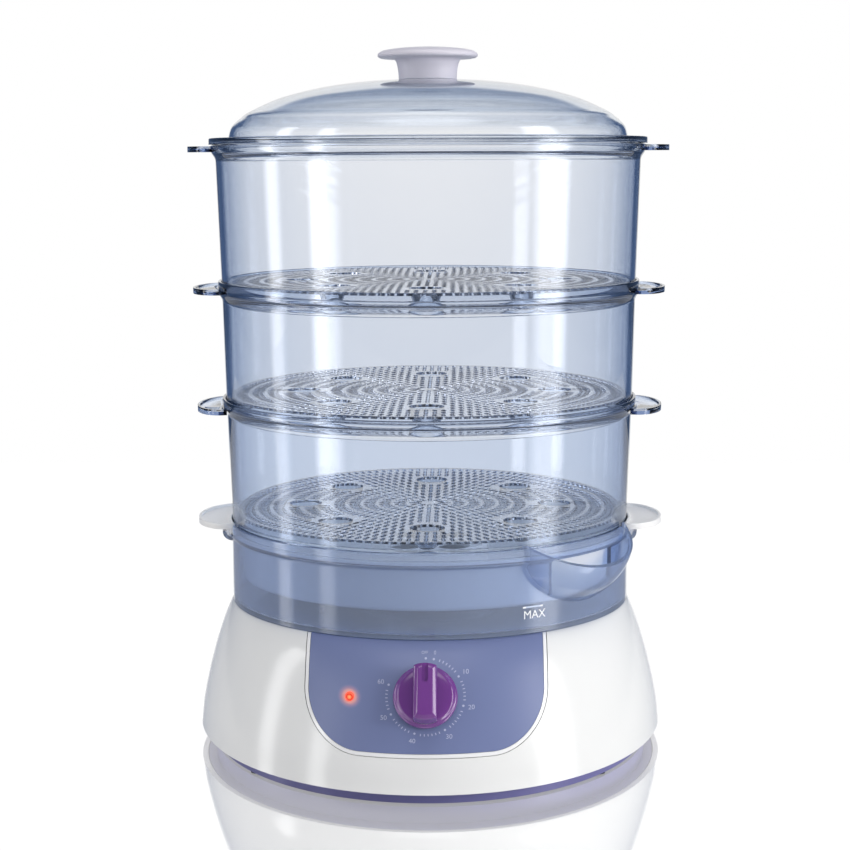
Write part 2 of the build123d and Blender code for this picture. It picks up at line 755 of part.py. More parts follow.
def basket_profile(index):
    """Half section of a basket ring, from the foot up the outside and back down."""
    top_z = basket_top_z[index]
    seat_z = basket_seat_z[index] if index < 2 else top_z - 4.2
    collar_out = collar_outer_r[index]
    collar_in = collar_out - basket_collar_wall
    inner = wall_r(index, seat_z) - basket_wall
    low_in = wall_r(index, ledge_top_z[index]) - basket_wall
    outside = [
        (wall_r(index, foot_z[index]), foot_z[index]),
        (wall_r(index, seat_z - flare_height), seat_z - flare_height),
        (collar_out, seat_z + 0.4),
        (collar_out, top_z),
        (collar_in, top_z),
        (collar_in, seat_z),
        (inner, seat_z),
        (low_in, ledge_top_z[index]),
        (ledge_inner_r, ledge_top_z[index]),
        (ledge_inner_r, ledge_top_z[index] - ledge_thickness),
    ]
    if skirt_bottom_z[index] is None:
        foot_in = basket_foot_r[index] - basket_wall
        return outside + [(low_in, ledge_top_z[index] - ledge_thickness - 0.6), (foot_in, foot_z[index])]
    skirt_r = wall_r(index - 1, foot_z[index]) - basket_wall - skirt_clearance
    skirt_low_r = skirt_r - skirt_taper
    return outside + [
        (skirt_r - skirt_wall, foot_z[index]),
        (skirt_low_r - skirt_wall, skirt_bottom_z[index]),
        (skirt_low_r, skirt_bottom_z[index]),
        (skirt_r, foot_z[index]),
    ]


for index in range(3):
    ear_z = basket_ear_z[index]
    ear_root = collar_outer_r[index] - basket_collar_wall
    ear_reach = basket_ear_tip[index] - ear_root
    with BuildPart() as basket:
        with BuildSketch(Plane.XZ):
            with BuildLine():
                Polyline(*basket_profile(index), close=True)
            make_face()
        revolve(axis=Axis.Z)
        for side in (-1, 1):
            with BuildSketch(Plane.XY.offset(ear_z)):
                with Locations((side * ear_root, 0)):
                    Ellipse(ear_reach, ear_half_y)
                Circle(ear_root + 0.4, mode=Mode.SUBTRACT)
            extrude(amount=ear_web)
            with BuildSketch(Plane.XY.offset(ear_z)):
                with Locations((side * ear_root, 0)):
                    Ellipse(ear_reach, ear_half_y)
                    Ellipse(ear_reach - ear_lip, ear_half_y - ear_lip, mode=Mode.SUBTRACT)
                Circle(ear_root + 0.4, mode=Mode.SUBTRACT)
            extrude(amount=ear_rise)
    save(basket.part, f"basket_{index + 1}")


# Steaming plates: perforated discs with egg cups and a toothed rim below
def slot_places():
    """Radial slots in rings, leaving out those that an egg cup takes."""
    keep_off = cup_rim_r + slot_length / 2 + 0.6
    cups = [ellipse_point(cup_radius, cup_radius, 360 * n / cup_count - 90) for n in range(cup_count)]
    places = []
    for ring in range(1, hole_rings + 1):
        count = holes_per_ring * ring
        for n in range(count):
            angle = 360 * n / count
            x, y = ellipse_point(hole_pitch * ring, hole_pitch * ring, angle)
            if min(hypot(x - cup_x, y - cup_y) for cup_x, cup_y in cups) > keep_off:
                places.append(Location((x, y, 0), (0, 0, angle)))
    return places


def egg_cup(disc_z):
    """Shallow round pocket that hangs in a plate whose lower face lies at disc_z."""
    top = disc_z + plate_thickness
    with BuildPart() as cup:
        with BuildSketch(Plane.XZ):
            with BuildLine():
                Polyline(
                    (cup_rim_r, top),
                    (cup_foot_r, top - cup_depth),
                    (0, top - cup_depth),
                    (0, top - cup_depth - cup_wall),
                    (cup_foot_r + 0.6, top - cup_depth - cup_wall),
                    (cup_rim_r + 1.2, disc_z),
                    (cup_rim_r + 1.2, top),
                    close=True,
                )
            make_face()
        revolve(axis=Axis.Z)
    return cup.part


for index in range(3):
    rim_low_z = ledge_top_z[index] + seat_gap
    disc_z = rim_low_z + comb_height
    plate_r = wall_r(index, rim_low_z) - basket_wall - plate_rim_gap
    with BuildPart() as plate:
        with BuildSketch(Plane.XY.offset(disc_z)):
            Circle(plate_r)
            with Locations(*slot_places()):
                SlotOverall(slot_length, slot_width, mode=Mode.SUBTRACT)
            with PolarLocations(cup_radius, cup_count, start_angle=-90):
                Circle(cup_rim_r, mode=Mode.SUBTRACT)
        extrude(amount=plate_thickness)
        with BuildSketch(Plane.XY.offset(rim_low_z)):
            Circle(plate_r)
            Circle(plate_r - comb_width, mode=Mode.SUBTRACT)
            with PolarLocations(plate_r - comb_width / 2, comb_teeth):
                Rectangle(3 * comb_width, pi * plate_r / comb_teeth, mode=Mode.SUBTRACT)
        extrude(amount=comb_height)
        with PolarLocations(cup_radius, cup_count, start_angle=-90):
            add(egg_cup(disc_z))
    save(plate.part, f"plate_{index + 1}")


# Lid: flanged dome with a locating skirt; its knob snaps in
def inset_shape(points, distance):
    """Points moved inwards along the local normal of the outline."""
    moved = []
    for n, (r, z) in enumerate(points):
        before, after = points[max(n - 1, 0)], points[min(n + 1, len(points) - 1)]
        run, rise = after[0] - before[0], after[1] - before[1]
        size = hypot(run, rise)
        moved.append((r - distance * rise / size, z + distance * run / size))
    return moved


dome = [(r * lid_dome_r, lid_dome_z + z * lid_dome_height) for r, z in dome_shape]
dome_inside = [(r, z) for r, z in inset_shape(dome, lid_wall)]
dome_inside[0] = (lid_dome_r - lid_wall, lid_dome_z)
dome_inside[-1] = (0, dome_top_z - lid_wall)
lid_skirt_r = wall_r(2, lid_bottom_z) - basket_wall - skirt_clearance
with BuildPart() as lid:
    with BuildSketch(Plane.XZ):
        with BuildLine():
            Spline(*dome)
            Line(dome[-1], dome_inside[-1])
            Spline(*reversed(dome_inside))
            Polyline(
                dome_inside[0],
                (lid_dome_r - lid_wall, lid_dome_z - lid_plate),
                (lid_skirt_r - lid_wall, lid_dome_z - lid_plate),
                (lid_skirt_r - lid_wall, lid_bottom_z - lid_skirt_depth),
                (lid_skirt_r, lid_bottom_z - lid_skirt_depth),
                (lid_skirt_r, lid_dome_z - lid_plate),
                (lid_lip_inner_r, lid_dome_z - lid_plate),
                (lid_lip_inner_r, lid_bottom_z),
                (lid_flange_r, lid_bottom_z),
                (lid_flange_r, lid_dome_z),
                dome[0],
            )
        make_face()
    revolve(axis=Axis.Z)
    with BuildSketch(Plane.XY.offset(dome_top_z - 2 * lid_wall)):
        Circle(stem_r + bore_play)
    extrude(amount=4 * lid_wall, mode=Mode.SUBTRACT)
save(lid.part, "lid")

with BuildPart() as lid_knob:
    with BuildSketch(Plane.XZ):
        with BuildLine():
            neck_top = dome_top_z + neck_height
            Polyline(
                (0, neck_top + lid_knob_height),
                (0, dome_top_z),
                (knob_neck_r, dome_top_z),
                (neck_top_r, neck_top),
                (lid_knob_r - 1.2, neck_top),
            )
            ThreePointArc(
                (lid_knob_r - 1.2, neck_top),
                (lid_knob_r, neck_top + 1.6),
                (lid_knob_r - 1.6, neck_top + 3.4),
            )
            Spline(
                (lid_knob_r - 1.6, neck_top + 3.4),
                (lid_knob_r / 2, neck_top + lid_knob_height - 0.7),
                (0, neck_top + lid_knob_height),
                tangents=((-1, 0.6), (-1, 0)),
            )
        make_face()
    revolve(axis=Axis.Z)
    with BuildSketch(Plane.XY.offset(dome_top_z - lid_wall - snap_lip)):
        Circle(stem_r)
    extrude(amount=lid_wall + snap_lip + 1)
    with BuildSketch(Plane.XY.offset(dome_top_z - lid_wall - snap_lip)):
        Circle(stem_r + snap_lip)
    extrude(amount=snap_lip - bore_play)
    with BuildSketch(Plane.XY.offset(dome_top_z - lid_wall - snap_lip)):
        Rectangle(1, 4 * stem_r)
    extrude(amount=lid_wall + snap_lip, mode=Mode.SUBTRACT)
save(lid_knob.part, "lid_knob")

# Mains terminal block
terminal_top_z = cover_top_z + terminal_height - terminal_hole_depth
with BuildPart() as terminal_block:
    with BuildSketch(Plane.XY.offset(cover_top_z - terminal_recess + bore_play)):
        with Locations((terminal_x, terminal_y)):
            Rectangle(terminal_length, terminal_width)
    extrude(amount=terminal_height)
    with BuildSketch(Plane.XY.offset(terminal_top_z)):
        with Locations((terminal_x, terminal_y)):
            with GridLocations(11, 8, 3, 2):
                Circle(terminal_hole_r)
    extrude(amount=terminal_hole_depth, mode=Mode.SUBTRACT)
save(terminal_block.part, "terminal_block")


# Lead from the terminal block to the element's leg
element_low_z = plate_z - element_tube_r - panel_gap - element_leg
leg_x, leg_y = ellipse_point(element_r, element_r, 6)
lead_x, lead_y = terminal_x - 11, terminal_y - 4
lead_points = [
    (lead_x, lead_y, terminal_top_z + bore_play),
    (lead_x, lead_y, lead_z),
    (leg_x, leg_y, lead_z),
    (leg_x, leg_y, element_low_z - panel_gap),
]
with BuildPart() as lead_element:
    with BuildLine() as route:
        FilletPolyline(*lead_points, radius=lead_bend)
    with BuildSketch(Plane(origin=lead_points[0])):
        Circle(wire_r)
    sweep(path=route.line)
save(lead_element.part, "lead_element")
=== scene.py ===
from math import asin, atan2, cos, hypot, pi, radians, sin, sqrt

import bpy
from mathutils import Matrix, Vector


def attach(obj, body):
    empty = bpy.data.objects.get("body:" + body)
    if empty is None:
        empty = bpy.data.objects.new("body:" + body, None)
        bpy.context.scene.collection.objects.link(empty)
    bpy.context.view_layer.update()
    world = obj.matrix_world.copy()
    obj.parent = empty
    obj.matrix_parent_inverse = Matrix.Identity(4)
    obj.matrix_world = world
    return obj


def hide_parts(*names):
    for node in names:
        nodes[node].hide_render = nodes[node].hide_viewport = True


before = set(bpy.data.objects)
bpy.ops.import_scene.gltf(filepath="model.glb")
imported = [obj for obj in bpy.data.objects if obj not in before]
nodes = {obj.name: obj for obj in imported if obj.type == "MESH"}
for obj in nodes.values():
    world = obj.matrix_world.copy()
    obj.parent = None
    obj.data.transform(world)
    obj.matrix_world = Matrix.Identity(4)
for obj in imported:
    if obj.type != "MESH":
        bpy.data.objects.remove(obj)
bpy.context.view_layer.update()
scene = bpy.context.scene
mm = 0.001
turns = 192  # facets round a large ring


# small tools
def tone(hexText):
    parts = [int(hexText[n : n + 2], 16) / 255 for n in (1, 3, 5)]
    return tuple(p / 12.92 if p <= 0.04045 else ((p + 0.055) / 1.055) ** 2.4 for p in parts) + (1.0,)


def addNode(tree, kind, settings=None, inputs=None):
    node = tree.nodes.new(kind)
    for key, value in (settings or {}).items():
        setattr(node, key, value)
    for key, value in (inputs or {}).items():
        if isinstance(value, bpy.types.NodeSocket):
            tree.links.new(value, node.inputs[key])
        else:
            node.inputs[key].default_value = value
    return node


def clearSelection():
    if bpy.context.mode != "OBJECT":
        bpy.ops.object.mode_set(mode="OBJECT")
    bpy.ops.object.select_all(action="DESELECT")


def pick(*pieces):
    clearSelection()
    for piece in pieces:
        piece.select_set(True)
    bpy.context.view_layer.objects.active = pieces[0]


def editAll(piece):
    pick(piece)
    bpy.ops.object.mode_set(mode="EDIT")
    bpy.ops.mesh.select_all(action="SELECT")


def startPoint(name, x, y, z):
    # one vertex to draw an outline from: a small plane, merged
    clearSelection()
    bpy.ops.mesh.primitive_plane_add(size=mm)
    piece = bpy.context.object
    piece.name = piece.data.name = name
    bpy.ops.object.mode_set(mode="EDIT")
    bpy.ops.mesh.select_all(action="SELECT")
    bpy.ops.mesh.merge(type="CENTER")
    bpy.ops.transform.translate(value=(x * mm, y * mm, z * mm))
    return piece


def drawOutline(points):
    # points in millimetres, drawn on from the first one, back to the start
    for before, after in zip(points, points[1:] + points[:1]):
        step = [(b - a) * mm for a, b in zip(before, after)]
        bpy.ops.mesh.extrude_vertices_move(TRANSFORM_OT_translate={"value": step})
    bpy.ops.mesh.select_all(action="SELECT")
    bpy.ops.mesh.remove_doubles(threshold=0.002 * mm)


def softened(points, cornerSteps=4):
    # rounds each corner given as (r, z, radius)
    line = []
    for n, (r, z, *radius) in enumerate(points):
        corner = Vector((r, z))
        if not radius:
            line.append(corner)
            continue
        back = Vector(points[n - 1][:2]) - corner
        ahead = Vector(points[(n + 1) % len(points)][:2]) - corner
        back = back.normalized() * min(radius[0], 0.47 * back.length)
        ahead = ahead.normalized() * min(radius[0], 0.47 * ahead.length)
        for step in range(cornerSteps + 1):
            share = step / cornerSteps
            line.append(corner + back * (1 - share) ** 2 + ahead * share**2)
    return [(p.x, 0, p.y) for p in line]


def spinRing(name, profile, steps=turns):
    # closed half section in millimetres, turned round the upright axis
    points = softened(profile)
    piece = startPoint(name, *points[0])
    drawOutline(points)
    bpy.ops.mesh.spin(steps=steps, angle=2 * pi, center=(0, 0, 0), axis=(0, 0, 1))
    bpy.ops.mesh.select_all(action="SELECT")
    bpy.ops.mesh.remove_doubles(threshold=0.002 * mm)
    bpy.ops.mesh.normals_make_consistent(inside=False)
    bpy.ops.object.mode_set(mode="OBJECT")
    return piece


def raisedPlate(name, outline, low, high):
    # flat closed outline in millimetres, filled and extruded upwards
    piece = startPoint(name, *outline[0], low)
    drawOutline([(x, y, low) for x, y in outline])
    bpy.ops.mesh.edge_face_add()
    bpy.ops.mesh.extrude_region_move(TRANSFORM_OT_translate={"value": (0, 0, (high - low) * mm)})
    bpy.ops.mesh.select_all(action="SELECT")
    bpy.ops.mesh.normals_make_consistent(inside=False)
    bpy.ops.object.mode_set(mode="OBJECT")
    return piece


def chooseFaces(piece, test):
    # leaves edit mode with only the faces selected that pass the test
    bpy.ops.mesh.select_all(action="DESELECT")
    bpy.ops.object.mode_set(mode="OBJECT")
    for face in piece.data.polygons:
        face.select = test(face)
    bpy.ops.object.mode_set(mode="EDIT")


def applyModifier(piece, kind, **settings):
    pick(piece)
    modifier = piece.modifiers.new(kind.title(), kind)
    for key, value in settings.items():
        setattr(modifier, key, value)
    bpy.ops.object.modifier_apply(modifier=modifier.name)


def combine(piece, other, operation="UNION"):
    applyModifier(piece, "BOOLEAN", operation=operation, solver="EXACT", object=other)
    bpy.data.objects.remove(other)


def roundEdges(piece, width, segments=2, angle=40):
    applyModifier(
        piece, "BEVEL", width=width * mm, segments=segments, limit_method="ANGLE", angle_limit=radians(angle)
    )


def smooth(piece, angle=32):
    pick(piece)
    bpy.ops.object.shade_smooth_by_angle(angle=radians(angle))


def place(piece, matrix):
    editAll(piece)
    bpy.ops.object.mode_set(mode="OBJECT")
    piece.data.transform(matrix)


def joinAll(first, *others):
    pick(first, *others)
    bpy.ops.object.join()
    return first


def flatSheet(name, outlines, low, high):
    # a flat curve filled between its outlines, made a mesh
    curve = bpy.data.curves.new(name, "CURVE")
    curve.dimensions = "2D"
    curve.fill_mode = "BOTH"
    curve.extrude = (high - low) / 2 * mm
    for outline in outlines:
        spline = curve.splines.new("POLY")
        spline.points.add(len(outline) - 1)
        spline.points.foreach_set("co", [c for x, y in outline for c in (x * mm, y * mm, 0, 1)])
        spline.use_cyclic_u = True
    piece = bpy.data.objects.new(name, curve)
    scene.collection.objects.link(piece)
    pick(piece)
    bpy.ops.object.convert(target="MESH")
    piece = bpy.context.object
    editAll(piece)
    bpy.ops.mesh.remove_doubles(threshold=0.002 * mm)
    bpy.ops.transform.translate(value=(0, 0, (low + high) / 2 * mm))
    bpy.ops.mesh.normals_make_consistent(inside=False)
    bpy.ops.object.mode_set(mode="OBJECT")
    return piece


def around(r, count, x=0.0, y=0.0, start=0.0):
    angles = [start + 2 * pi * n / count for n in range(count)]
    return [(x + r * cos(angle), y + r * sin(angle)) for angle in angles]


# materials: each reads its object's coordinates
def emptyTree(owner):
    owner.use_nodes = True
    owner.node_tree.nodes.clear()
    return owner.node_tree


def mathNode(tree, operation, a, b):
    return addNode(tree, "ShaderNodeMath", {"operation": operation}, {0: a, 1: b}).outputs[0]


def mapRange(tree, value, low, high, fromLow=0.0, fromHigh=1.0, kind="LINEAR"):
    inputs = {"Value": value, "From Min": fromLow, "From Max": fromHigh, "To Min": low, "To Max": high}
    return addNode(tree, "ShaderNodeMapRange", {"interpolation_type": kind}, inputs).outputs["Result"]


def mixColour(tree, share, a, b):
    return addNode(tree, "ShaderNodeMix", {"data_type": "RGBA"}, {0: share, 6: a, 7: b}).outputs[2]


def colourRamp(tree, share, stops):
    # stops given as (where, colour, alpha)
    ramp = addNode(tree, "ShaderNodeValToRGB", {}, {"Fac": share})
    elements = ramp.color_ramp.elements
    while len(elements) < len(stops):
        elements.new(0.5)
    for element, (where, colour, alpha) in zip(elements, stops):
        element.position = where
        element.color = tone(colour)[:3] + (alpha,)
    return ramp


def objectNoise(tree, size, detail):
    # noise whose features are about this many millimetres wide
    spot = addNode(tree, "ShaderNodeTexCoord").outputs["Object"]
    noise = {"Vector": spot, "Scale": 1000 / size, "Detail": detail}
    return addNode(tree, "ShaderNodeTexNoise", {}, noise).outputs["Fac"]


def waviness(tree, height, strength):
    inputs = {"Height": height, "Strength": strength, "Distance": 0.2 * mm}
    return addNode(tree, "ShaderNodeBump", {}, inputs).outputs["Normal"]


def mouldedPlastic(name, colour, shade, roughness, wave=12.0, lift=0.02, coat=0.0):
    material = bpy.data.materials.new(name)
    tree = emptyTree(material)
    fine = objectNoise(tree, wave, 3.0)
    surface = {
        "Base Color": mixColour(tree, objectNoise(tree, 45, 2.0), tone(colour), tone(shade)),
        "Roughness": mapRange(tree, fine, roughness * 0.85, roughness * 1.2),
        "Normal": waviness(tree, fine, lift),
        "Coat Weight": coat,
        "Coat Roughness": 0.04,
    }
    body = addNode(tree, "ShaderNodeBsdfPrincipled", {}, surface)
    addNode(tree, "ShaderNodeOutputMaterial", {}, {"Surface": body.outputs[0]})
    return material


def clearPlastic(name, facing, absorbs, density, roughness=0.012, clear=1.0):
    # facing: colour across the wall first, then towards the edge of the form, where its darkening is painted
    # edge shade, as (place, colour)
    # lamps shine through it, tinted as by one wall
    material = bpy.data.materials.new(name)
    tree = emptyTree(material)
    # the colour darkens with Layer Weight's Facing towards the edges of the form: painted edge shade
    across = addNode(tree, "ShaderNodeLayerWeight", {}, {"Blend": 0.5}).outputs["Facing"]
    tint = colourRamp(tree, across, [(where, colour, 1) for where, colour in facing])
    surface = {
        "Base Color": tint.outputs["Color"],
        "Roughness": roughness,
        "IOR": 1.49,
        "Transmission Weight": clear,
        "Normal": waviness(tree, objectNoise(tree, 22, 1.0), 0.03),
    }
    body = addNode(tree, "ShaderNodeBsdfPrincipled", {}, surface).outputs[0]
    veil = addNode(tree, "ShaderNodeBsdfTransparent", {}, {"Color": tone(facing[0][1])}).outputs[0]
    shade = addNode(tree, "ShaderNodeLightPath").outputs["Is Shadow Ray"]
    either = addNode(tree, "ShaderNodeMixShader", {}, {0: shade, 1: body, 2: veil}).outputs[0]
    mass = addNode(tree, "ShaderNodeVolumeAbsorption", {}, {"Color": absorbs, "Density": density}).outputs[0]
    addNode(tree, "ShaderNodeOutputMaterial", {}, {"Surface": either, "Volume": mass})
    return material


def brushedMetal(name, colour, roughness):
    material = bpy.data.materials.new(name)
    tree = emptyTree(material)
    gloss = mapRange(tree, objectNoise(tree, 1.5, 3.0), roughness * 0.7, roughness * 1.4)
    surface = {"Base Color": tone(colour), "Metallic": 1.0, "Roughness": gloss}
    body = addNode(tree, "ShaderNodeBsdfPrincipled", {}, surface)
    addNode(tree, "ShaderNodeOutputMaterial", {}, {"Surface": body.outputs[0]})
    return material


# glossy moulded ABS: even white with a sharp sheen and a very faint waviness
glossyWhiteAbs = mouldedPlastic("glossy_white_abs", "#f4f4f2", "#efefed", 0.16, 14, 0.02, 0.3)
whiteTrimAbs = mouldedPlastic("white_trim_abs", "#fbfbfb", "#f6f6f6", 0.12, 14, 0.01, 0.4)
violetPanelAbs = mouldedPlastic("satin_violet_abs", "#7883ac", "#747fa8", 0.34, 5, 0.03)
violetFootAbs = mouldedPlastic("satin_foot_abs", "#7d7bb0", "#7775aa", 0.35, 8, 0.03)
purpleKnobAbs = mouldedPlastic("glossy_purple_abs", "#7a4090", "#723989", 0.18, 6, 0.02, 1.0)
lilacKnobPp = mouldedPlastic("lilac_polypropylene", "#e6e3ec", "#e1dde8", 0.38, 6, 0.03)
whiteTrayPp = mouldedPlastic("white_polypropylene", "#f6f5f4", "#f1f0ee", 0.3, 8, 0.03)
nylon = mouldedPlastic("natural_nylon", "#e6e2d6", "#dcd7c8", 0.45, 4, 0.05)
blackRubber = mouldedPlastic("black_rubber", "#2a2a2c", "#232325", 0.7, 2, 0.2)
clearSilicone = mouldedPlastic("grey_silicone", "#b9bcc0", "#b0b3b8", 0.5, 4, 0.05)
leadSleeve = mouldedPlastic("silicone_lead_sleeve", "#c9c2b4", "#c0b9aa", 0.55, 3, 0.05)
lampGlass = mouldedPlastic("lamp_glass", "#ff8a4a", "#ff7a3a", 0.1, 3, 0.0)
platedSteel = brushedMetal("plated_steel", "#c9ccd0", 0.28)
heaterSteel = brushedMetal("heater_steel", "#b5b8bd", 0.35)
# clear moulded polycarbonate, tinted in the mass by its absorption; the colour is pale across a wall and goes
# deep blue to near black along an edge, painted edge shade
wallFacingEdgeShade = [(0.0, "#ffffff"), (0.5, "#f6f9fd"), (0.75, "#dee7f3")]
wallFacingEdgeShade += [(0.86, "#bfcce0"), (0.905, "#3c4d76"), (0.94, "#060b1c")]
clearBasketPc = clearPlastic("clear_blue_polycarbonate", wallFacingEdgeShade, (0.20, 0.36, 0.64, 1), 29)
# the lid shares the baskets' clear plastic but gets a lighter, less absorbing copy of it: painted light, with
# painted edge shade
litDomeFacingEdgeShade = [(0.0, "#ffffff"), (0.5, "#f5f8fc"), (0.8, "#e6edf5"), (0.92, "#9aabc4"), (0.98, "#25365e")]
litLidPc = clearPlastic("lit_lid_polycarbonate", litDomeFacingEdgeShade, (0.20, 0.38, 0.62, 1), 15)
plateFacingEdgeShade = [(0.0, "#f7f9fc"), (0.5, "#ebf0f7"), (0.85, "#cbd5e4"), (0.97, "#7285ad")]
clearPlatePc = clearPlastic("clear_plate_polycarbonate", plateFacingEdgeShade, (0.20, 0.36, 0.64, 1), 9)
# the lowest plate gets a darker, bluer, more absorbing copy of the plates' clear plastic: painted shade, with
# painted edge shade
shadedLowPlateFacing = [(0.0, "#e8eef6"), (0.5, "#d3dce9"), (0.85, "#a9b9d2"), (0.97, "#53678f")]
shadedLowPlatePc = clearPlastic("shaded_low_plate_polycarbonate", shadedLowPlateFacing, (0.18, 0.38, 0.64, 1), 26)
tankFacingEdgeShade = [(0.0, "#d8e1f0"), (0.5, "#c8d3e8"), (0.8, "#9dadcb"), (0.95, "#4d5f8c")]
blueTankPc = clearPlastic("blue_tank_polycarbonate", tankFacingEdgeShade, (0.21, 0.39, 0.64, 1), 25, 0.08, 0.82)

redLens = mouldedPlastic("red_lens_acrylic", "#e2401e", "#dc3a1a", 0.1, 3, 0.0, 0.3)
lampX, lampZ = -40.5, 55.5
panelLean = 1.16  # slope of the panel, as length along it to height


def tintRound(material, places, glowing=False):
    # colours in rings about the lamp, places given as (radius in millimetres, colour, share); on the lens they
    # glow as the lamp, on the panel they are painted lamp glow
    tree = material.node_tree
    surface = next(n for n in tree.nodes if n.type == "BSDF_PRINCIPLED")
    spot = addNode(tree, "ShaderNodeTexCoord").outputs["Object"]
    toPanel = (1000, 0, 1000 * panelLean)
    flat = addNode(tree, "ShaderNodeVectorMath", {"operation": "MULTIPLY"}, {0: spot, 1: toPanel}).outputs[0]
    between = {0: flat, 1: (lampX, 0, lampZ * panelLean)}
    reach = addNode(tree, "ShaderNodeVectorMath", {"operation": "DISTANCE"}, between).outputs["Value"]
    width = places[-1][0]
    stops = [(radius / width, colour, strength) for radius, colour, strength in places]
    rings = colourRamp(tree, mathNode(tree, "DIVIDE", reach, width), stops)
    under = surface.inputs["Base Color"].links[0].from_socket
    blend = mixColour(tree, rings.outputs["Alpha"], under, rings.outputs["Color"])
    tree.links.new(blend, surface.inputs["Base Color"])
    if glowing:
        tree.links.new(rings.outputs["Color"], surface.inputs["Emission Color"])
        surface.inputs["Emission Strength"].default_value = 1.0


lensRings = [(0, "#ff9468", 1), (0.9, "#ff6a3c", 1), (1.5, "#8e1c14", 1)]
lensRings += [(2.1, "#e0563c", 1), (3, "#e0563c", 1)]
# painted light: the lamp's pink glow painted on the panel round the lens, fading out by 7 mm
paintedLampGlow = [(0, "#f0b0aa", 1), (3.4, "#f0b0aa", 1), (4.6, "#c49ab0", 0.7), (7.0, "#7f8ab6", 0)]
tintRound(redLens, lensRings, glowing=True)
tintRound(violetPanelAbs, paintedLampGlow)

finishes = {
    "white_shell": glossyWhiteAbs,
    "white_trim": whiteTrimAbs,
    "violet_panel": violetPanelAbs,
    "violet_base": violetFootAbs,
    "purple_knob": purpleKnobAbs,
    "lilac_knob": lilacKnobPp,
    "white_tray": whiteTrayPp,
    "blue_tank": blueTankPc,
    "clear_basket": clearBasketPc,
    "clear_plate": clearPlatePc,
    "red_lens": redLens,
    "lamp_glass": lampGlass,
    "nylon": nylon,
    "plated_steel": platedSteel,
    "heater_steel": heaterSteel,
    "rubber_feet": blackRubber,
    "silicone": clearSilicone,
    "lead_sleeve": leadSleeve,
}
for node in nodes.values():
    for slot in node.material_slots:
        slot.material = finishes[slot.material.name]


def finish(piece, slotName, body, *replaced, material=None):
    piece.data.materials.clear()
    piece.data.materials.append(material or finishes[slotName])
    smooth(piece)
    if replaced:
        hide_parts(*replaced)
    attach(piece, body)


print("materials made")

# heights and radii that the stacked pieces share, in millimetres
stack = {
    "gap": 0.3,
    "wall": 2.4,
    "footR": [116.4, 118.9, 120.4],
    "slope": [0.0326, 0.0232, 0.0324],
    "topZ": [200.8, 268.8, 346.2],
    "seatZ": [196.1, 261.5, 342.0],
    "footZ": [124.1, 196.4, 261.8],
    "ledgeZ": [130.1, 198.2, 263.6],
    "earTip": [136.4, 137.7, 139.3],
    "earZ": [192.6, 261.5, 342.4],
    "skirtZ": [None, 189.0, 255.0],
    "earHalfY": 34.0,
    "collarWall": 1.8,
    "ledgeInR": 110.8,
}
lid = {
    "flangeR": 126.7,
    "bottomZ": 346.5,
    "flange": 3.8,
    "plate": 1.8,
    "lip": 2.2,
    "domeR": 115.3,
    "domeHeight": 33.3,
    "wall": 2.2,
    "skirtDepth": 5.0,
}
stack["collarOutR"] = [
    stack["footR"][1] + 0.5 + stack["collarWall"],
    stack["footR"][2] + 0.5 + stack["collarWall"],
    lid["flangeR"] - lid["lip"] + 1.1,
]


def wallR(index, z):
    return stack["footR"][index] + stack["slope"][index] * (z - stack["footZ"][index])


def earOutline(side, rootR, reach, halfY, steps=44):
    # half ellipse outside the circle rootR, closed along that circle
    edge = pi / 2
    while hypot(rootR + reach * cos(edge), halfY * sin(edge)) > rootR and edge < pi:
        edge += 0.004
    curve = [
        (rootR + reach * cos(edge * (2 * n / steps - 1)), halfY * sin(edge * (2 * n / steps - 1)))
        for n in range(steps + 1)
    ]
    span = atan2(curve[-1][1], curve[-1][0])
    swing = [span * (1 - 2 * n / 12) for n in range(1, 12)]
    back = [(rootR * cos(angle), rootR * sin(angle)) for angle in swing]
    return [(side * x, y) for x, y in curve + back]


def makeEar(name, side, rootR, tip, z, web=1.9, rise=3.3, lip=1.7, edge=0.45):
    # flat ear with a raised rim: extruded, inset twice, edges rounded
    ear = raisedPlate(name, earOutline(side, rootR, tip - rootR, stack["earHalfY"]), z, z + rise)
    pick(ear)
    bpy.ops.object.mode_set(mode="EDIT")
    chooseFaces(ear, lambda face: face.normal.z > 0.9)
    bpy.ops.mesh.inset(thickness=(lip - 0.3) * mm)
    bpy.ops.mesh.inset(thickness=0.3 * mm, depth=(web - rise) * mm)
    bpy.ops.object.mode_set(mode="OBJECT")
    roundEdges(ear, edge)
    return ear


# baskets
def makeBasket(index):
    top, seat, ledge, foot = (stack[key][index] for key in ("topZ", "seatZ", "ledgeZ", "footZ"))
    out = stack["collarOutR"][index]
    inside = out - stack["collarWall"]
    wall = stack["wall"]
    shelf = stack["ledgeInR"]
    profile = [
        (wallR(index, foot), foot, 0.6),
        (wallR(index, seat - 3.6), seat - 3.6, 1.6),
        (out, seat + 0.4, 1.6),
        (out, top, 0.7),
        (inside, top, 0.7),
        (inside, seat, 0.6),
        (wallR(index, seat) - wall, seat, 0.7),
        (wallR(index, ledge) - wall, ledge, 0.5),
        (shelf, ledge, 0.5),
        (shelf, ledge - 1.8, 0.5),
    ]
    if index == 0:
        profile += [(wallR(0, ledge) - wall, ledge - 2.4, 0.6), (stack["footR"][0] - wall, foot, 0.6)]
    else:
        skirt = wallR(index - 1, foot) - wall - 0.7
        low = stack["skirtZ"][index]
        profile += [
            (skirt - 1.8, foot, 0.8),
            (skirt - 3.8, low, 0.5),
            (skirt - 2.0, low, 0.7),
            (skirt, foot, 0.3),
        ]
    basket = spinRing(f"basket_shell_{index + 1}", profile)
    for side in (-1, 1):
        ear = makeEar("ear", side, inside + 0.9, stack["earTip"][index], stack["earZ"][index])
        combine(basket, ear)
    finish(basket, "clear_basket", f"basket_{index + 1}", f"basket_{index + 1}")


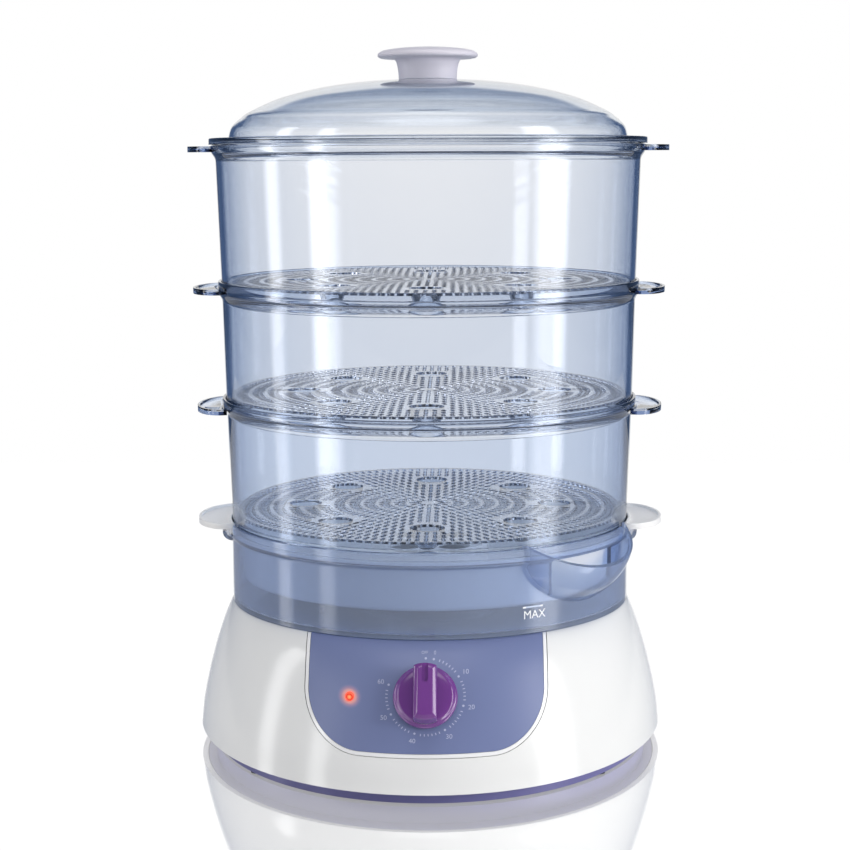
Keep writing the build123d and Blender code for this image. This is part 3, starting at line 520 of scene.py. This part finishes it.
for index in range(3):
    makeBasket(index)
print("baskets made")

# steaming plates
sieve = {
    "rings": 12,
    "slotsInFirst": 12,
    "slotLength": 7.5,
    "slotWidth": 2.5,
    "thickness": 1.6,
    "comb": 2.7,
    "combWidth": 1.5,
    "teeth": 120,
    "cups": 8,
    "cupRingR": 74.0,
    "cupR": 9.8,
    "cupSides": 40,
    "cupDrop": 10.2,
}
cupCentres = around(sieve["cupRingR"], sieve["cups"], start=-pi / 2)


def slotOutline(r, angle, steps=3):
    # rounded slot that points outwards
    half, end = sieve["slotLength"] / 2 - sieve["slotWidth"] / 2, sieve["slotWidth"] / 2
    points = []
    for side in (1, -1):
        for n in range(steps + 1):
            bend = side * pi / 2 * (1 - 2 * n / steps) if side > 0 else pi + pi / 2 * (1 - 2 * n / steps)
            points.append((r + side * half + end * cos(bend), end * sin(bend)))
    return [(x * cos(angle) - y * sin(angle), x * sin(angle) + y * cos(angle)) for x, y in points]


def makePlate(index):
    low = stack["ledgeZ"][index] + stack["gap"]
    disc = low + sieve["comb"]
    top = disc + sieve["thickness"]
    rimR = wallR(index, low) - stack["wall"] - 0.6
    innerR = rimR - sieve["combWidth"]
    sides = 2 * sieve["teeth"]
    pitch = (innerR - 0.9 - sieve["slotLength"] / 2) / sieve["rings"]
    keepOff = sieve["cupR"] + 0.9
    outlines = [around(innerR, sides)]
    outlines += [around(sieve["cupR"], sieve["cupSides"], x, y) for x, y in cupCentres]
    for ring in range(1, sieve["rings"] + 1):
        for n in range(sieve["slotsInFirst"] * ring):
            angle = 2 * pi * n / (sieve["slotsInFirst"] * ring)
            slot = slotOutline(pitch * ring, angle)
            if min(hypot(x - cx, y - cy) for x, y in slot for cx, cy in cupCentres) > keepOff:
                outlines.append(slot)
    plate = flatSheet(f"steaming_plate_{index + 1}", outlines, disc, top)
    # the disc's rim and the cups' holes are opened, for the rim and the cups to join
    pick(plate)
    bpy.ops.object.mode_set(mode="EDIT")

    def isOpenEdge(face):
        x, y = face.center.x / mm, face.center.y / mm
        if abs(face.normal.z) > 0.5:
            return False
        if hypot(x, y) > innerR - 0.3:
            return True
        return min(hypot(x - cx, y - cy) for cx, cy in cupCentres) < sieve["cupR"] + 0.2

    chooseFaces(plate, isOpenEdge)
    bpy.ops.mesh.delete(type="FACE")
    bpy.ops.object.mode_set(mode="OBJECT")
    # toothed rim: a ring whose lower face is extruded at every other facet
    rim = startPoint("rim", innerR, 0, top)
    for dx, dz in ((rimR - innerR, 0), (0, disc - top), (innerR - rimR, 0)):
        bpy.ops.mesh.extrude_vertices_move(TRANSFORM_OT_translate={"value": (dx * mm, 0, dz * mm)})
    bpy.ops.mesh.select_all(action="SELECT")
    bpy.ops.mesh.spin(steps=sides, angle=2 * pi, center=(0, 0, 0), axis=(0, 0, 1))
    bpy.ops.mesh.select_all(action="SELECT")
    bpy.ops.mesh.remove_doubles(threshold=0.002 * mm)
    bpy.ops.mesh.normals_make_consistent(inside=False)

    def isTooth(face):
        middle = atan2(face.center.y, face.center.x) % (2 * pi)
        flatBelow = abs(face.normal.z) > 0.5 and face.center.z < (disc + 0.2) * mm
        return flatBelow and int(middle * sides / (2 * pi)) % 2 == 0

    chooseFaces(rim, isTooth)
    bpy.ops.mesh.extrude_region_move(TRANSFORM_OT_translate={"value": (0, 0, -sieve["comb"] * mm)})
    bpy.ops.object.mode_set(mode="OBJECT")
    # egg cup: a rounded pocket, modelled once and copied with its own mesh
    # each point is (radius, share of the cup's drop, millimetres further down)
    cupLine = [(sieve["cupR"], 0, 0), (8.6, 0.35, 0), (6.4, 0.72, 0), (3.6, 0.96, 0), (0, 1, 0)]
    cupLine += [(0, 1, 1.4), (4.3, 0.98, 1.2), (7.4, 0.72, 1.2), (9.6, 0.35, 1.2)]
    cupLine += [(sieve["cupR"], 0, sieve["thickness"])]
    line = [(r, top - share * sieve["cupDrop"] - below) for r, share, below in cupLine]
    cup = startPoint("cup", line[0][0], 0, line[0][1])
    for before, after in zip(line, line[1:]):
        step = ((after[0] - before[0]) * mm, 0, (after[1] - before[1]) * mm)
        bpy.ops.mesh.extrude_vertices_move(TRANSFORM_OT_translate={"value": step})
    bpy.ops.mesh.select_all(action="SELECT")
    bpy.ops.mesh.spin(steps=sieve["cupSides"], angle=2 * pi, center=(0, 0, 0), axis=(0, 0, 1))
    bpy.ops.mesh.select_all(action="SELECT")
    bpy.ops.mesh.remove_doubles(threshold=0.002 * mm)
    bpy.ops.object.mode_set(mode="OBJECT")
    cups = []
    for x, y in cupCentres:
        copy = cup.copy()
        copy.data = cup.data.copy()
        scene.collection.objects.link(copy)
        copy.data.transform(Matrix.Translation((x * mm, y * mm, 0)))
        cups.append(copy)
    bpy.data.objects.remove(cup)
    joinAll(plate, rim, *cups)
    editAll(plate)
    bpy.ops.mesh.remove_doubles(threshold=0.01 * mm)
    bpy.ops.mesh.normals_make_consistent(inside=False)
    bpy.ops.object.mode_set(mode="OBJECT")
    # the lowest plate takes the darker copy of the plate plastic: painted shade
    look = shadedLowPlatePc if index == 0 else clearPlatePc
    finish(plate, "clear_plate", f"plate_{index + 1}", f"plate_{index + 1}", material=look)


for index in range(3):
    makePlate(index)
print("plates made")

# lid and its knob
domeZ = lid["bottomZ"] + lid["flange"]
domeTop = domeZ + lid["domeHeight"]
domeLine = [(1, 0), (0.99, 0.14), (0.974, 0.23), (0.939, 0.336), (0.889, 0.456)]
domeLine += [(0.739, 0.684), (0.539, 0.856), (0.339, 0.952), (0.144, 0.994), (0, 1)]


def throughPoints(points, steps=5):
    # smooth run of points through the given ones
    line = []
    for n in range(len(points) - 1):
        p0, p1, p2, p3 = (Vector(points[min(max(n + k, 0), len(points) - 1)]) for k in (-1, 0, 1, 2))
        for step in range(steps):
            t = step / steps
            bend, twist = 2 * p0 - 5 * p1 + 4 * p2 - p3, 3 * p1 - p0 - 3 * p2 + p3
            line.append(0.5 * (2 * p1 + (p2 - p0) * t + bend * t**2 + twist * t**3))
    line.append(Vector(points[-1]))
    return line


def inwards(line, distance):
    moved = []
    for n, point in enumerate(line):
        run = line[min(n + 1, len(line) - 1)] - line[max(n - 1, 0)]
        moved.append(point + Vector((run.y, -run.x)).normalized() * -distance)
    return moved


outerDome = throughPoints([(r * lid["domeR"], domeZ + z * lid["domeHeight"]) for r, z in domeLine])
innerDome = inwards(outerDome, lid["wall"])
innerDome = [p for p in innerDome if p.x > 1.5 and p.y > domeZ - 0.5]
skirtR = wallR(2, lid["bottomZ"]) - stack["wall"] - 0.7
underPlate = domeZ - lid["plate"]
lipInR = lid["flangeR"] - lid["lip"]
lidProfile = [(p.x, p.y) for p in outerDome]
lidProfile[0] = (lid["domeR"], domeZ, 1.0)
lidProfile += [(0, domeTop - lid["wall"])] + [(p.x, p.y) for p in reversed(innerDome)]
lidProfile += [
    (lid["domeR"] - lid["wall"], underPlate, 0.8),
    (skirtR - lid["wall"], underPlate, 0.6),
    (skirtR - lid["wall"], lid["bottomZ"] - lid["skirtDepth"], 0.6),
    (skirtR, lid["bottomZ"] - lid["skirtDepth"], 0.6),
    (skirtR, underPlate, 0.5),
    (lipInR, underPlate, 0.5),
    (lipInR, lid["bottomZ"], 0.5),
    (lid["flangeR"], lid["bottomZ"], 0.6),
    (lid["flangeR"], domeZ, 0.8),
]
lidShell = spinRing("lid_shell", lidProfile)
# the lid takes the lighter copy of the clear plastic: painted light
finish(lidShell, "clear_basket", "lid", "lid", material=litLidPc)

neckTop = domeTop + 11.8
knobProfile = [
    (0, domeTop),
    (16.7, domeTop, 0.3),
    (17.1, domeTop + 6, 2.0),
    (18.3, neckTop - 1.2, 1.6),
    (20.4, neckTop, 1.6),
    (27.6, neckTop + 0.1, 1.2),
    (29.1, neckTop + 1.3, 0.9),
    (28.6, neckTop + 3.0, 1.0),
    (26.0, neckTop + 4.5, 2.0),
    (18.0, neckTop + 5.7, 3.0),
    (8.0, neckTop + 6.4, 3.0),
    (0, neckTop + 6.5),
]
lidKnob = spinRing("lid_knob_cap", knobProfile, 96)
finish(lidKnob, "lilac_knob", "lid", "lid_knob")
print("lid made")

# drip tray
trayZ = 122.1
trayProfile = [
    (33.0, 95.6, 0.6),
    (110.6, 95.6, 3.0),
    (113.4, trayZ, 0.8),
    (116.8, trayZ, 0.4),
    (116.8, trayZ + 1.7, 0.6),
    (111.6, trayZ + 1.7, 0.8),
    (108.8, 97.4, 3.0),
    (34.8, 97.4, 0.8),
    (34.8, 113.6, 0.8),
    (33.0, 113.6, 0.8),
]
tray = spinRing("drip_tray_bowl", trayProfile)
trayRoot = 117.3


def arcBand(side, inR, outR, reach=radians(14.5), steps=14):
    # band between two radii, either side of the ear's middle
    swing = [reach * (2 * n / steps - 1) for n in range(steps + 1)]
    band = [(side * inR * cos(a), inR * sin(a)) for a in swing]
    return band + [(side * outR * cos(a), outR * sin(a)) for a in reversed(swing)]


for side in (-1, 1):
    ear = makeEar("ear", side, trayRoot, 137.1, 126.0, edge=0.55)
    # web that drops from the ear to the tray's flange, and the shelf at its foot
    wall = raisedPlate("web", arcBand(side, trayRoot, trayRoot + 1.9), trayZ, 127.2)
    roundEdges(wall, 0.4)
    foot = raisedPlate("shelf", arcBand(side, 113.0, trayRoot + 0.9), trayZ, trayZ + 1.7)
    for part in (wall, foot, ear):
        combine(tray, part)
gridOutlines = [around(33.9, 96)] + [around(10.2, 24, x, y) for x, y in around(19.5, 4, start=pi / 4)]
grid = flatSheet("chimney_grid", gridOutlines, 110.6, 112.6)
combine(tray, grid)
finish(tray, "white_tray", "drip_tray", "drip_tray")
print("tray made")

# water tank
tank = {
    "r": 117.0,
    "wall": 2.5,
    "bottom": 81.0,
    "floor": 83.5,
    "rimZ": 129.0,
    "ledgeZ": 121.8,
    "collarR": 118.9,
    "collarWall": 1.8,
    "holeR": 45.0,
    "notchHalfY": 37.0,
    "lugR": 122.8,
    "lugBottom": 113.0,
    "lugRise": 21.5,
}
scoop = {
    "azimuth": 49.0,
    "r": 52.0,
    "inset": 32.0,
    "drop": 40.6,
    "z": 126.5,
    "wall": 2.2,
    "slope": 29.0,
    "windowHalf": 27.0,
}

tankProfile = [
    (tank["holeR"], tank["bottom"], 0.6),
    (tank["r"], tank["bottom"], 1.0),
    (tank["r"], tank["ledgeZ"] - 2.2, 1.0),
    (tank["collarR"], tank["ledgeZ"] - 0.6, 1.0),
    (tank["collarR"], tank["rimZ"], 0.7),
    (tank["collarR"] - tank["collarWall"], tank["rimZ"], 0.7),
    (tank["collarR"] - tank["collarWall"], tank["ledgeZ"], 0.5),
    (tank["r"] - tank["wall"], tank["ledgeZ"], 0.8),
    (tank["r"] - tank["wall"], tank["floor"], 2.0),
    (tank["holeR"], tank["floor"], 0.6),
]
tankShell = spinRing("water_tank_shell", tankProfile)
for side in (-1, 1):
    lugProfile = [
        (tank["r"] - 1, tank["lugBottom"]),
        (tank["lugR"] - 2.6, tank["lugBottom"] + 2.4, 2.0),
        (tank["lugR"] - 0.5, tank["lugBottom"] + 5.6, 2.0),
        (tank["lugR"], tank["ledgeZ"], 0.6),
        (tank["lugR"] - 2, tank["ledgeZ"], 0.6),
        (tank["lugR"] - 2.9, tank["lugBottom"] + 6.2, 2.0),
        (tank["lugR"] - 4.4, tank["lugBottom"] + 4.6, 1.6),
        (tank["r"] - 1, tank["lugBottom"] + 3),
    ]
    lug = spinRing("lug", lugProfile)
    clearSelection()
    bpy.ops.mesh.primitive_cylinder_add(
        vertices=96,
        radius=tank["lugRise"] * mm,
        depth=0.1,
        location=(side * 0.12, 0, (tank["lugBottom"] + tank["lugRise"]) * mm),
        rotation=(0, pi / 2, 0),
    )
    reach = bpy.context.object
    combine(lug, reach, "INTERSECT")
    combine(tankShell, lug)

turn = radians(scoop["azimuth"])
scoopOut = Vector((sin(turn), -cos(turn), 0))
scoopSide = Vector((cos(turn), sin(turn), 0))
scoopCentre = scoopOut * (tank["r"] - scoop["inset"]) + Vector((0, 0, scoop["z"]))


def makeBowl(name, wide, deep, cuts):
    # an oval ball cut flat by planes given as (point, normal), each cut closed
    clearSelection()
    bpy.ops.mesh.primitive_uv_sphere_add(segments=128, ring_count=64, radius=mm, location=scoopCentre * mm)
    bowl = bpy.context.object
    bowl.name = name
    bpy.ops.object.transform_apply(location=True)
    bpy.ops.object.mode_set(mode="EDIT")
    bpy.ops.mesh.select_all(action="SELECT")
    bpy.ops.transform.resize(value=(wide, wide, deep), center_override=scoopCentre * mm)
    for point, normal in cuts:
        bpy.ops.mesh.select_all(action="SELECT")
        bpy.ops.mesh.bisect(plane_co=point * mm, plane_no=normal, use_fill=True, clear_outer=True)
    bpy.ops.mesh.select_all(action="SELECT")
    bpy.ops.mesh.normals_make_consistent(inside=False)
    bpy.ops.object.mode_set(mode="OBJECT")
    return bowl


tilt = radians(scoop["slope"])
lipPoint = scoopOut * tank["r"] + Vector((0, 0, scoop["z"]))
lipNormal = scoopOut * sin(tilt) + Vector((0, 0, cos(tilt)))
hollowR, hollowDrop = scoop["r"] - scoop["wall"], scoop["drop"] - scoop["wall"]
pocket = makeBowl("scoop", scoop["r"], scoop["drop"], [(lipPoint, lipNormal)])
hollow = makeBowl("hollow", hollowR, hollowDrop, [(lipPoint + lipNormal * 4, lipNormal)])
combine(pocket, hollow, "DIFFERENCE")
# the pocket is cut back to the wall, and above the ledge to the collar
for cutR, low, high in ((tank["r"] - 1.2, 0, 200), (tank["collarR"] - 0.9, tank["ledgeZ"], tank["ledgeZ"] + 50)):
    clearSelection()
    bpy.ops.mesh.primitive_cylinder_add(
        vertices=turns, radius=cutR * mm, depth=(high - low) * mm, location=(0, 0, (low + high) / 2 * mm)
    )
    combine(pocket, bpy.context.object, "DIFFERENCE")
combine(tankShell, pocket)
window = makeBowl(
    "window",
    hollowR,
    hollowDrop,
    [
        (Vector((0, 0, tank["ledgeZ"] - 1.0)), Vector((0, 0, 1))),
        (scoopSide * scoop["windowHalf"], scoopSide),
        (-scoopSide * scoop["windowHalf"], -scoopSide),
        (scoopOut * (tank["r"] - 8), -scoopOut),
    ],
)
combine(tankShell, window, "DIFFERENCE")
for side in (-1, 1):
    clearSelection()
    bpy.ops.mesh.primitive_cube_add(size=mm, location=(side * 0.12, 0, 0.14))
    bpy.ops.object.transform_apply(location=True)
    cutter = bpy.context.object
    editAll(cutter)
    bpy.ops.transform.resize(
        value=(80, 2 * tank["notchHalfY"], 2 * (140 - tank["ledgeZ"])), center_override=(side * 0.12, 0, 0.14)
    )
    bpy.ops.object.mode_set(mode="OBJECT")
    combine(tankShell, cutter, "DIFFERENCE")
finish(tankShell, "blue_tank", "base", "water_tank")
print("tank made")

# timer knob
knob = {"r": 17.2, "height": 15.0, "grip": 12.8, "lift": 0.6, "x": 0.0, "y": -141.691, "z": 56.8}
knobAxis = Vector((0, -0.857994, 0.51366))
knobUp = Vector((0, 0.51366, 0.857994))
knobPlace = Matrix(
    (
        (1, 0, 0, knob["x"] * mm),
        (0, knobUp.y, knobAxis.y, knob["y"] * mm),
        (0, knobUp.z, knobAxis.z, knob["z"] * mm),
        (0, 0, 0, 1),
    )
)
knobFoot = knob["lift"]
dialProfile = [
    (0, knobFoot),
    (knob["r"] - 0.3, knobFoot, 0.3),
    (knob["r"], knobFoot + 1.1, 0.8),
    (knob["r"] - 0.7, knobFoot + 2.2, 0.7),
    (knob["r"] - 1.5, knobFoot + 2.7, 0.5),
    (knob["r"] - 2.6, knobFoot + 4.4, 1.0),
    (knob["r"] - 6.0, knobFoot + 4.9, 2.0),
    (0, knobFoot + 5.0),
]
timerKnob = spinRing("timer_knob_cap", dialProfile, 96)
halfGrip = knob["grip"] / 2
gripR = knob["r"] - 1.5
corner = asin(halfGrip / gripR)
gripOutline = [(gripR * sin(a), gripR * cos(a)) for a in (corner * (2 * n / 12 - 1) for n in range(13))]
gripOutline += [(-x, -y) for x, y in gripOutline]
gripTop = knobFoot + knob["height"]
grip = raisedPlate("grip", gripOutline, knobFoot + 1.5, gripTop - 2.0)
editAll(grip)
chooseFaces(grip, lambda face: face.normal.z > 0.9)
bpy.ops.transform.resize(value=(0.94, 0.97, 1), center_override=(0, 0, 0))
bpy.ops.mesh.extrude_region_move(TRANSFORM_OT_translate={"value": (0, 0, 1.4 * mm)})
bpy.ops.transform.resize(value=(0.62, 0.86, 1), center_override=(0, 0, 0))
bpy.ops.object.mode_set(mode="OBJECT")
roundEdges(grip, 0.4, 2, 20)
combine(timerKnob, grip)
# pointer notch: two half circles on a short straight
rounds = [(1.6 * cos(a), 1.6 * sin(a)) for a in (2 * pi * (n + 0.5) / 24 for n in range(24))]
notchOutline = [(x, y + (14.2 if y > 0 else 6.2)) for x, y in rounds]
notch = raisedPlate("notch", notchOutline, gripTop - 1.8, gripTop + 1)
combine(timerKnob, notch, "DIFFERENCE")
place(timerKnob, knobPlace)
finish(timerKnob, "purple_knob", "timer", "timer_knob")
print("knob made")

# prints on the panel and on the tank
shell = {"bottom": 10.0, "top": 81.0, "r": 117.0, "halfX": 136.3, "halfY": 162.0}


def skinY(x, z):
    # front skin of the housing, an oval that narrows upwards
    share = min(max((z - shell["bottom"]) / (shell["top"] - shell["bottom"]), 0), 1)
    halfX = shell["r"] + (shell["halfX"] - shell["r"]) * (1 - share**1.4) ** 0.85
    halfY = shell["r"] + (shell["halfY"] - shell["r"]) * (1 - share**1.1) ** 0.6
    return -halfY * sqrt(1 - (x / halfX) ** 2)


def ontoPanel(x, v, w):
    # flat print (x across, v up the slope from the knob's centre) laid on the panel's skin
    z = knob["z"] + v * knobUp.z
    across = skinY(x + 0.5, z) - skinY(x - 0.5, z)
    along = skinY(x, z + 0.5) - skinY(x, z - 0.5)
    normal = Vector((across, -1, along)).normalized()
    return Vector((x, skinY(x, z), z)) + normal * w


def ontoTank(u, v, w):
    angle = u / tank["r"]
    r = tank["r"] + w
    return Vector((r * sin(angle), -r * cos(angle), v))


def wrapPrint(piece, wrap):
    for vertex in piece.data.vertices:
        vertex.co = wrap(*(c / mm for c in vertex.co)) * mm


def letter(text, size, u, v, thick=0.03):
    clearSelection()
    bpy.ops.object.text_add()
    piece = bpy.context.object
    piece.data.body = text
    piece.data.size = size * mm
    piece.data.align_x = "CENTER"
    piece.data.align_y = "CENTER"
    piece.data.extrude = thick * mm
    piece.data.resolution_u = 4
    bpy.ops.object.convert(target="MESH")
    piece = bpy.context.object
    editAll(piece)
    bpy.ops.transform.translate(value=(u * mm, v * mm, 0.05 * mm))
    bpy.ops.object.mode_set(mode="OBJECT")
    return piece


dialMarks = []
dotAngles = [0, 12, 58, 104, 150, 196, 242, 288]
ringR = 20.6
for angle in dotAngles:
    dialMarks.append(around(0.62, 12, ringR * sin(radians(angle)), ringR * cos(radians(angle))))
for first, last in zip(dotAngles[1:], dotAngles[2:]):
    for n in range(6):
        angle = radians(first + (last - first) * (n + 1.6) / 8.2)
        ends = [(ringR - 0.55, -0.24), (ringR + 0.75, -0.24), (ringR + 0.75, 0.24), (ringR - 0.55, 0.24)]
        out, over = (sin(angle), cos(angle)), (cos(angle), -sin(angle))
        dialMarks.append([(a * out[0] + b * over[0], a * out[1] + b * over[1]) for a, b in ends])
dialPrint = flatSheet("dial_print", dialMarks, 0.02, 0.08)
words = [letter("OFF", 2.0, -0.6, 23.4), letter("0", 2.6, 4.9, 23.3)]
for number, angle in zip(("10", "20", "30", "40", "50", "60"), dotAngles[2:]):
    words.append(letter(number, 3.6, 25.0 * sin(radians(angle)), 25.0 * cos(radians(angle))))
joinAll(dialPrint, *words)
wrapPrint(dialPrint, ontoPanel)
# pad-printed pale lilac ink
dialInk = mouldedPlastic("pale_lilac_ink", "#c3c8e0", "#bdc2dc", 0.5, 2, 0.0)
finish(dialPrint, "violet_panel", "base", material=dialInk)

maxAngle = radians(30.2)
maxU = tank["r"] * maxAngle
maxLine = [(-9.4, 0), (3.4, 0), (3.4, 0.9), (-9.4, 0.9)]
maxPrint = flatSheet("max_print", [[(maxU + u + 2, 95.9 + v) for u, v in maxLine]], 0.02, 0.08)
joinAll(maxPrint, letter("MAX", 6.6, maxU, 91.9))
wrapPrint(maxPrint, ontoTank)
whiteInk = mouldedPlastic("white_ink", "#ffffff", "#fafafa", 0.5, 2, 0.0)
finish(maxPrint, "blue_tank", "base", material=whiteInk)
print("prints made")

# floor, air, lamps
clearSelection()
bpy.ops.mesh.primitive_plane_add(size=2.0)
floor = bpy.context.object
floor.name = "floor"


def seenRays(tree, ray):
    direct = mathNode(tree, "MAXIMUM", ray["Is Camera Ray"], ray["Is Glossy Ray"])
    return mathNode(tree, "MAXIMUM", direct, ray["Is Transmission Ray"])


def glossBoard():
    # lit from itself and half mirror for what is seen, plain matt for the light it throws back
    material = bpy.data.materials.new("white_gloss_board")
    tree = emptyTree(material)
    ray = addNode(tree, "ShaderNodeLightPath").outputs
    # painted shade: seen through the clear pieces the board is darker and a little blue
    through = mixColour(tree, ray["Is Transmission Ray"], (1, 1, 1, 1), (0.66, 0.73, 0.85, 1))
    matt = addNode(tree, "ShaderNodeBsdfDiffuse", {}, {"Color": (0.3, 0.3, 0.3, 1)}).outputs[0]
    glow = addNode(tree, "ShaderNodeEmission", {}, {"Color": through, "Strength": 0.95}).outputs[0]
    lit = addNode(tree, "ShaderNodeAddShader", {}, {0: matt, 1: glow}).outputs[0]
    gloss = addNode(tree, "ShaderNodeBsdfGlossy", {}, {"Color": through, "Roughness": 0.06}).outputs[0]
    board = addNode(tree, "ShaderNodeMixShader", {}, {0: 0.68, 1: lit, 2: gloss}).outputs[0]
    plain = addNode(tree, "ShaderNodeBsdfDiffuse", {}, {"Color": (0.8, 0.8, 0.8, 1)}).outputs[0]
    both = addNode(tree, "ShaderNodeMixShader", {}, {0: seenRays(tree, ray), 1: plain, 2: board}).outputs[0]
    addNode(tree, "ShaderNodeOutputMaterial", {}, {"Surface": both})
    return material


floor.data.materials.append(glossBoard())


def studioAir():
    # white wall behind the object and dark blue room on the other sides, as the clear pieces
    # bend and mirror them
    air = bpy.data.worlds.new("studio_air")
    tree = emptyTree(air)
    ray = addNode(tree, "ShaderNodeLightPath").outputs
    direction = addNode(tree, "ShaderNodeTexCoord").outputs["Generated"]
    reach = {0: direction, 1: (2.5, 1, 1.7)}
    spread = addNode(tree, "ShaderNodeVectorMath", {"operation": "MULTIPLY"}, reach)
    size = addNode(tree, "ShaderNodeVectorMath", {"operation": "ABSOLUTE"}, {0: spread.outputs[0]})
    off = addNode(tree, "ShaderNodeSeparateXYZ", {}, {0: size.outputs[0]}).outputs
    ahead = addNode(tree, "ShaderNodeSeparateXYZ", {}, {0: direction}).outputs
    wall = mapRange(tree, mathNode(tree, "MAXIMUM", off["X"], off["Z"]), 1.0, 0.0, 0.6, 0.76, "SMOOTHSTEP")
    behind = mathNode(tree, "GREATER_THAN", ahead["Y"], 0.0)
    white = mathNode(tree, "MAXIMUM", mathNode(tree, "MULTIPLY", wall, behind), ray["Is Camera Ray"])
    # what the clear walls show of the white wall grows bluer towards its foot
    height = mapRange(tree, ahead["Z"], 0.0, 1.0, -0.16, -0.04)
    pale = mathNode(tree, "MAXIMUM", height, ray["Is Camera Ray"])
    paper = mixColour(tree, pale, (0.70, 0.76, 0.86, 1), (1, 1, 1, 1))
    room = mixColour(tree, white, (0.08, 0.13, 0.25, 1), paper)
    colour = mixColour(tree, seenRays(tree, ray), (0.34, 0.34, 0.35, 1), room)
    glow = addNode(tree, "ShaderNodeBackground", {}, {"Color": colour, "Strength": 1.0}).outputs[0]
    addNode(tree, "ShaderNodeOutputWorld", {}, {"Surface": glow})
    return air


scene.world = studioAir()


def softbox(name, azimuth, distance, height, width, tall, radiance):
    # its light fades towards its two upright sides
    light = bpy.data.lights.new(name, "AREA")
    tree = emptyTree(light)
    spot = addNode(tree, "ShaderNodeNewGeometry").outputs["Parametric"]
    across = addNode(tree, "ShaderNodeSeparateXYZ", {}, {0: spot}).outputs["X"]
    fade = mapRange(tree, mathNode(tree, "PINGPONG", across, 0.5), 0.0, 1.4, 0.0, 0.35, "SMOOTHSTEP")
    glow = addNode(tree, "ShaderNodeEmission", {}, {"Strength": fade}).outputs[0]
    addNode(tree, "ShaderNodeOutputLight", {}, {"Surface": glow})
    light.shape = "RECTANGLE"
    light.size = width
    light.size_y = tall
    light.energy = radiance * pi * width * tall
    lamp = bpy.data.objects.new(name, light)
    scene.collection.objects.link(lamp)
    bearing = radians(azimuth)
    lamp.location = (distance * sin(bearing), -distance * cos(bearing), height)
    aim = Vector((0, 0, 0.2)) - lamp.location
    lamp.rotation_euler = aim.to_track_quat("-Z", "Y").to_euler()
    return lamp


softbox("left_strip", -58, 1.6, 0.5, 0.40, 1.5, 2.5)
softbox("left_far_strip", -88, 1.6, 0.5, 0.42, 1.5, 2.5)
softbox("right_bank", 68, 1.7, 0.6, 0.85, 1.6, 3.4)
softbox("top_bank", 0, 0.5, 2.0, 1.6, 1.6, 1.2)
key = softbox("front_key", 50, 1.3, 0.4, 0.3, 0.3, 16)
key.visible_glossy = False
key.visible_transmission = False

view = {"lens": 81.13, "x": -2.53, "y": -1122.3, "z": 338.0, "down": 7.904, "roll": -0.267, "turn": 1.2}
cameraData = bpy.data.cameras.new("camera")
cameraData.sensor_width = 36
cameraData.lens = view["lens"]
camera = bpy.data.objects.new("camera", cameraData)
scene.collection.objects.link(camera)
camera.matrix_world = (
    Matrix.Rotation(radians(view["turn"]), 4, "Z")
    @ Matrix.Translation((view["x"] * mm, view["y"] * mm, view["z"] * mm))
    @ Matrix.Rotation(radians(90 - view["down"]), 4, "X")
    @ Matrix.Rotation(radians(view["roll"]), 4, "Z")
)
scene.camera = camera
scene.view_settings.view_transform = "Standard"
print("stage made")
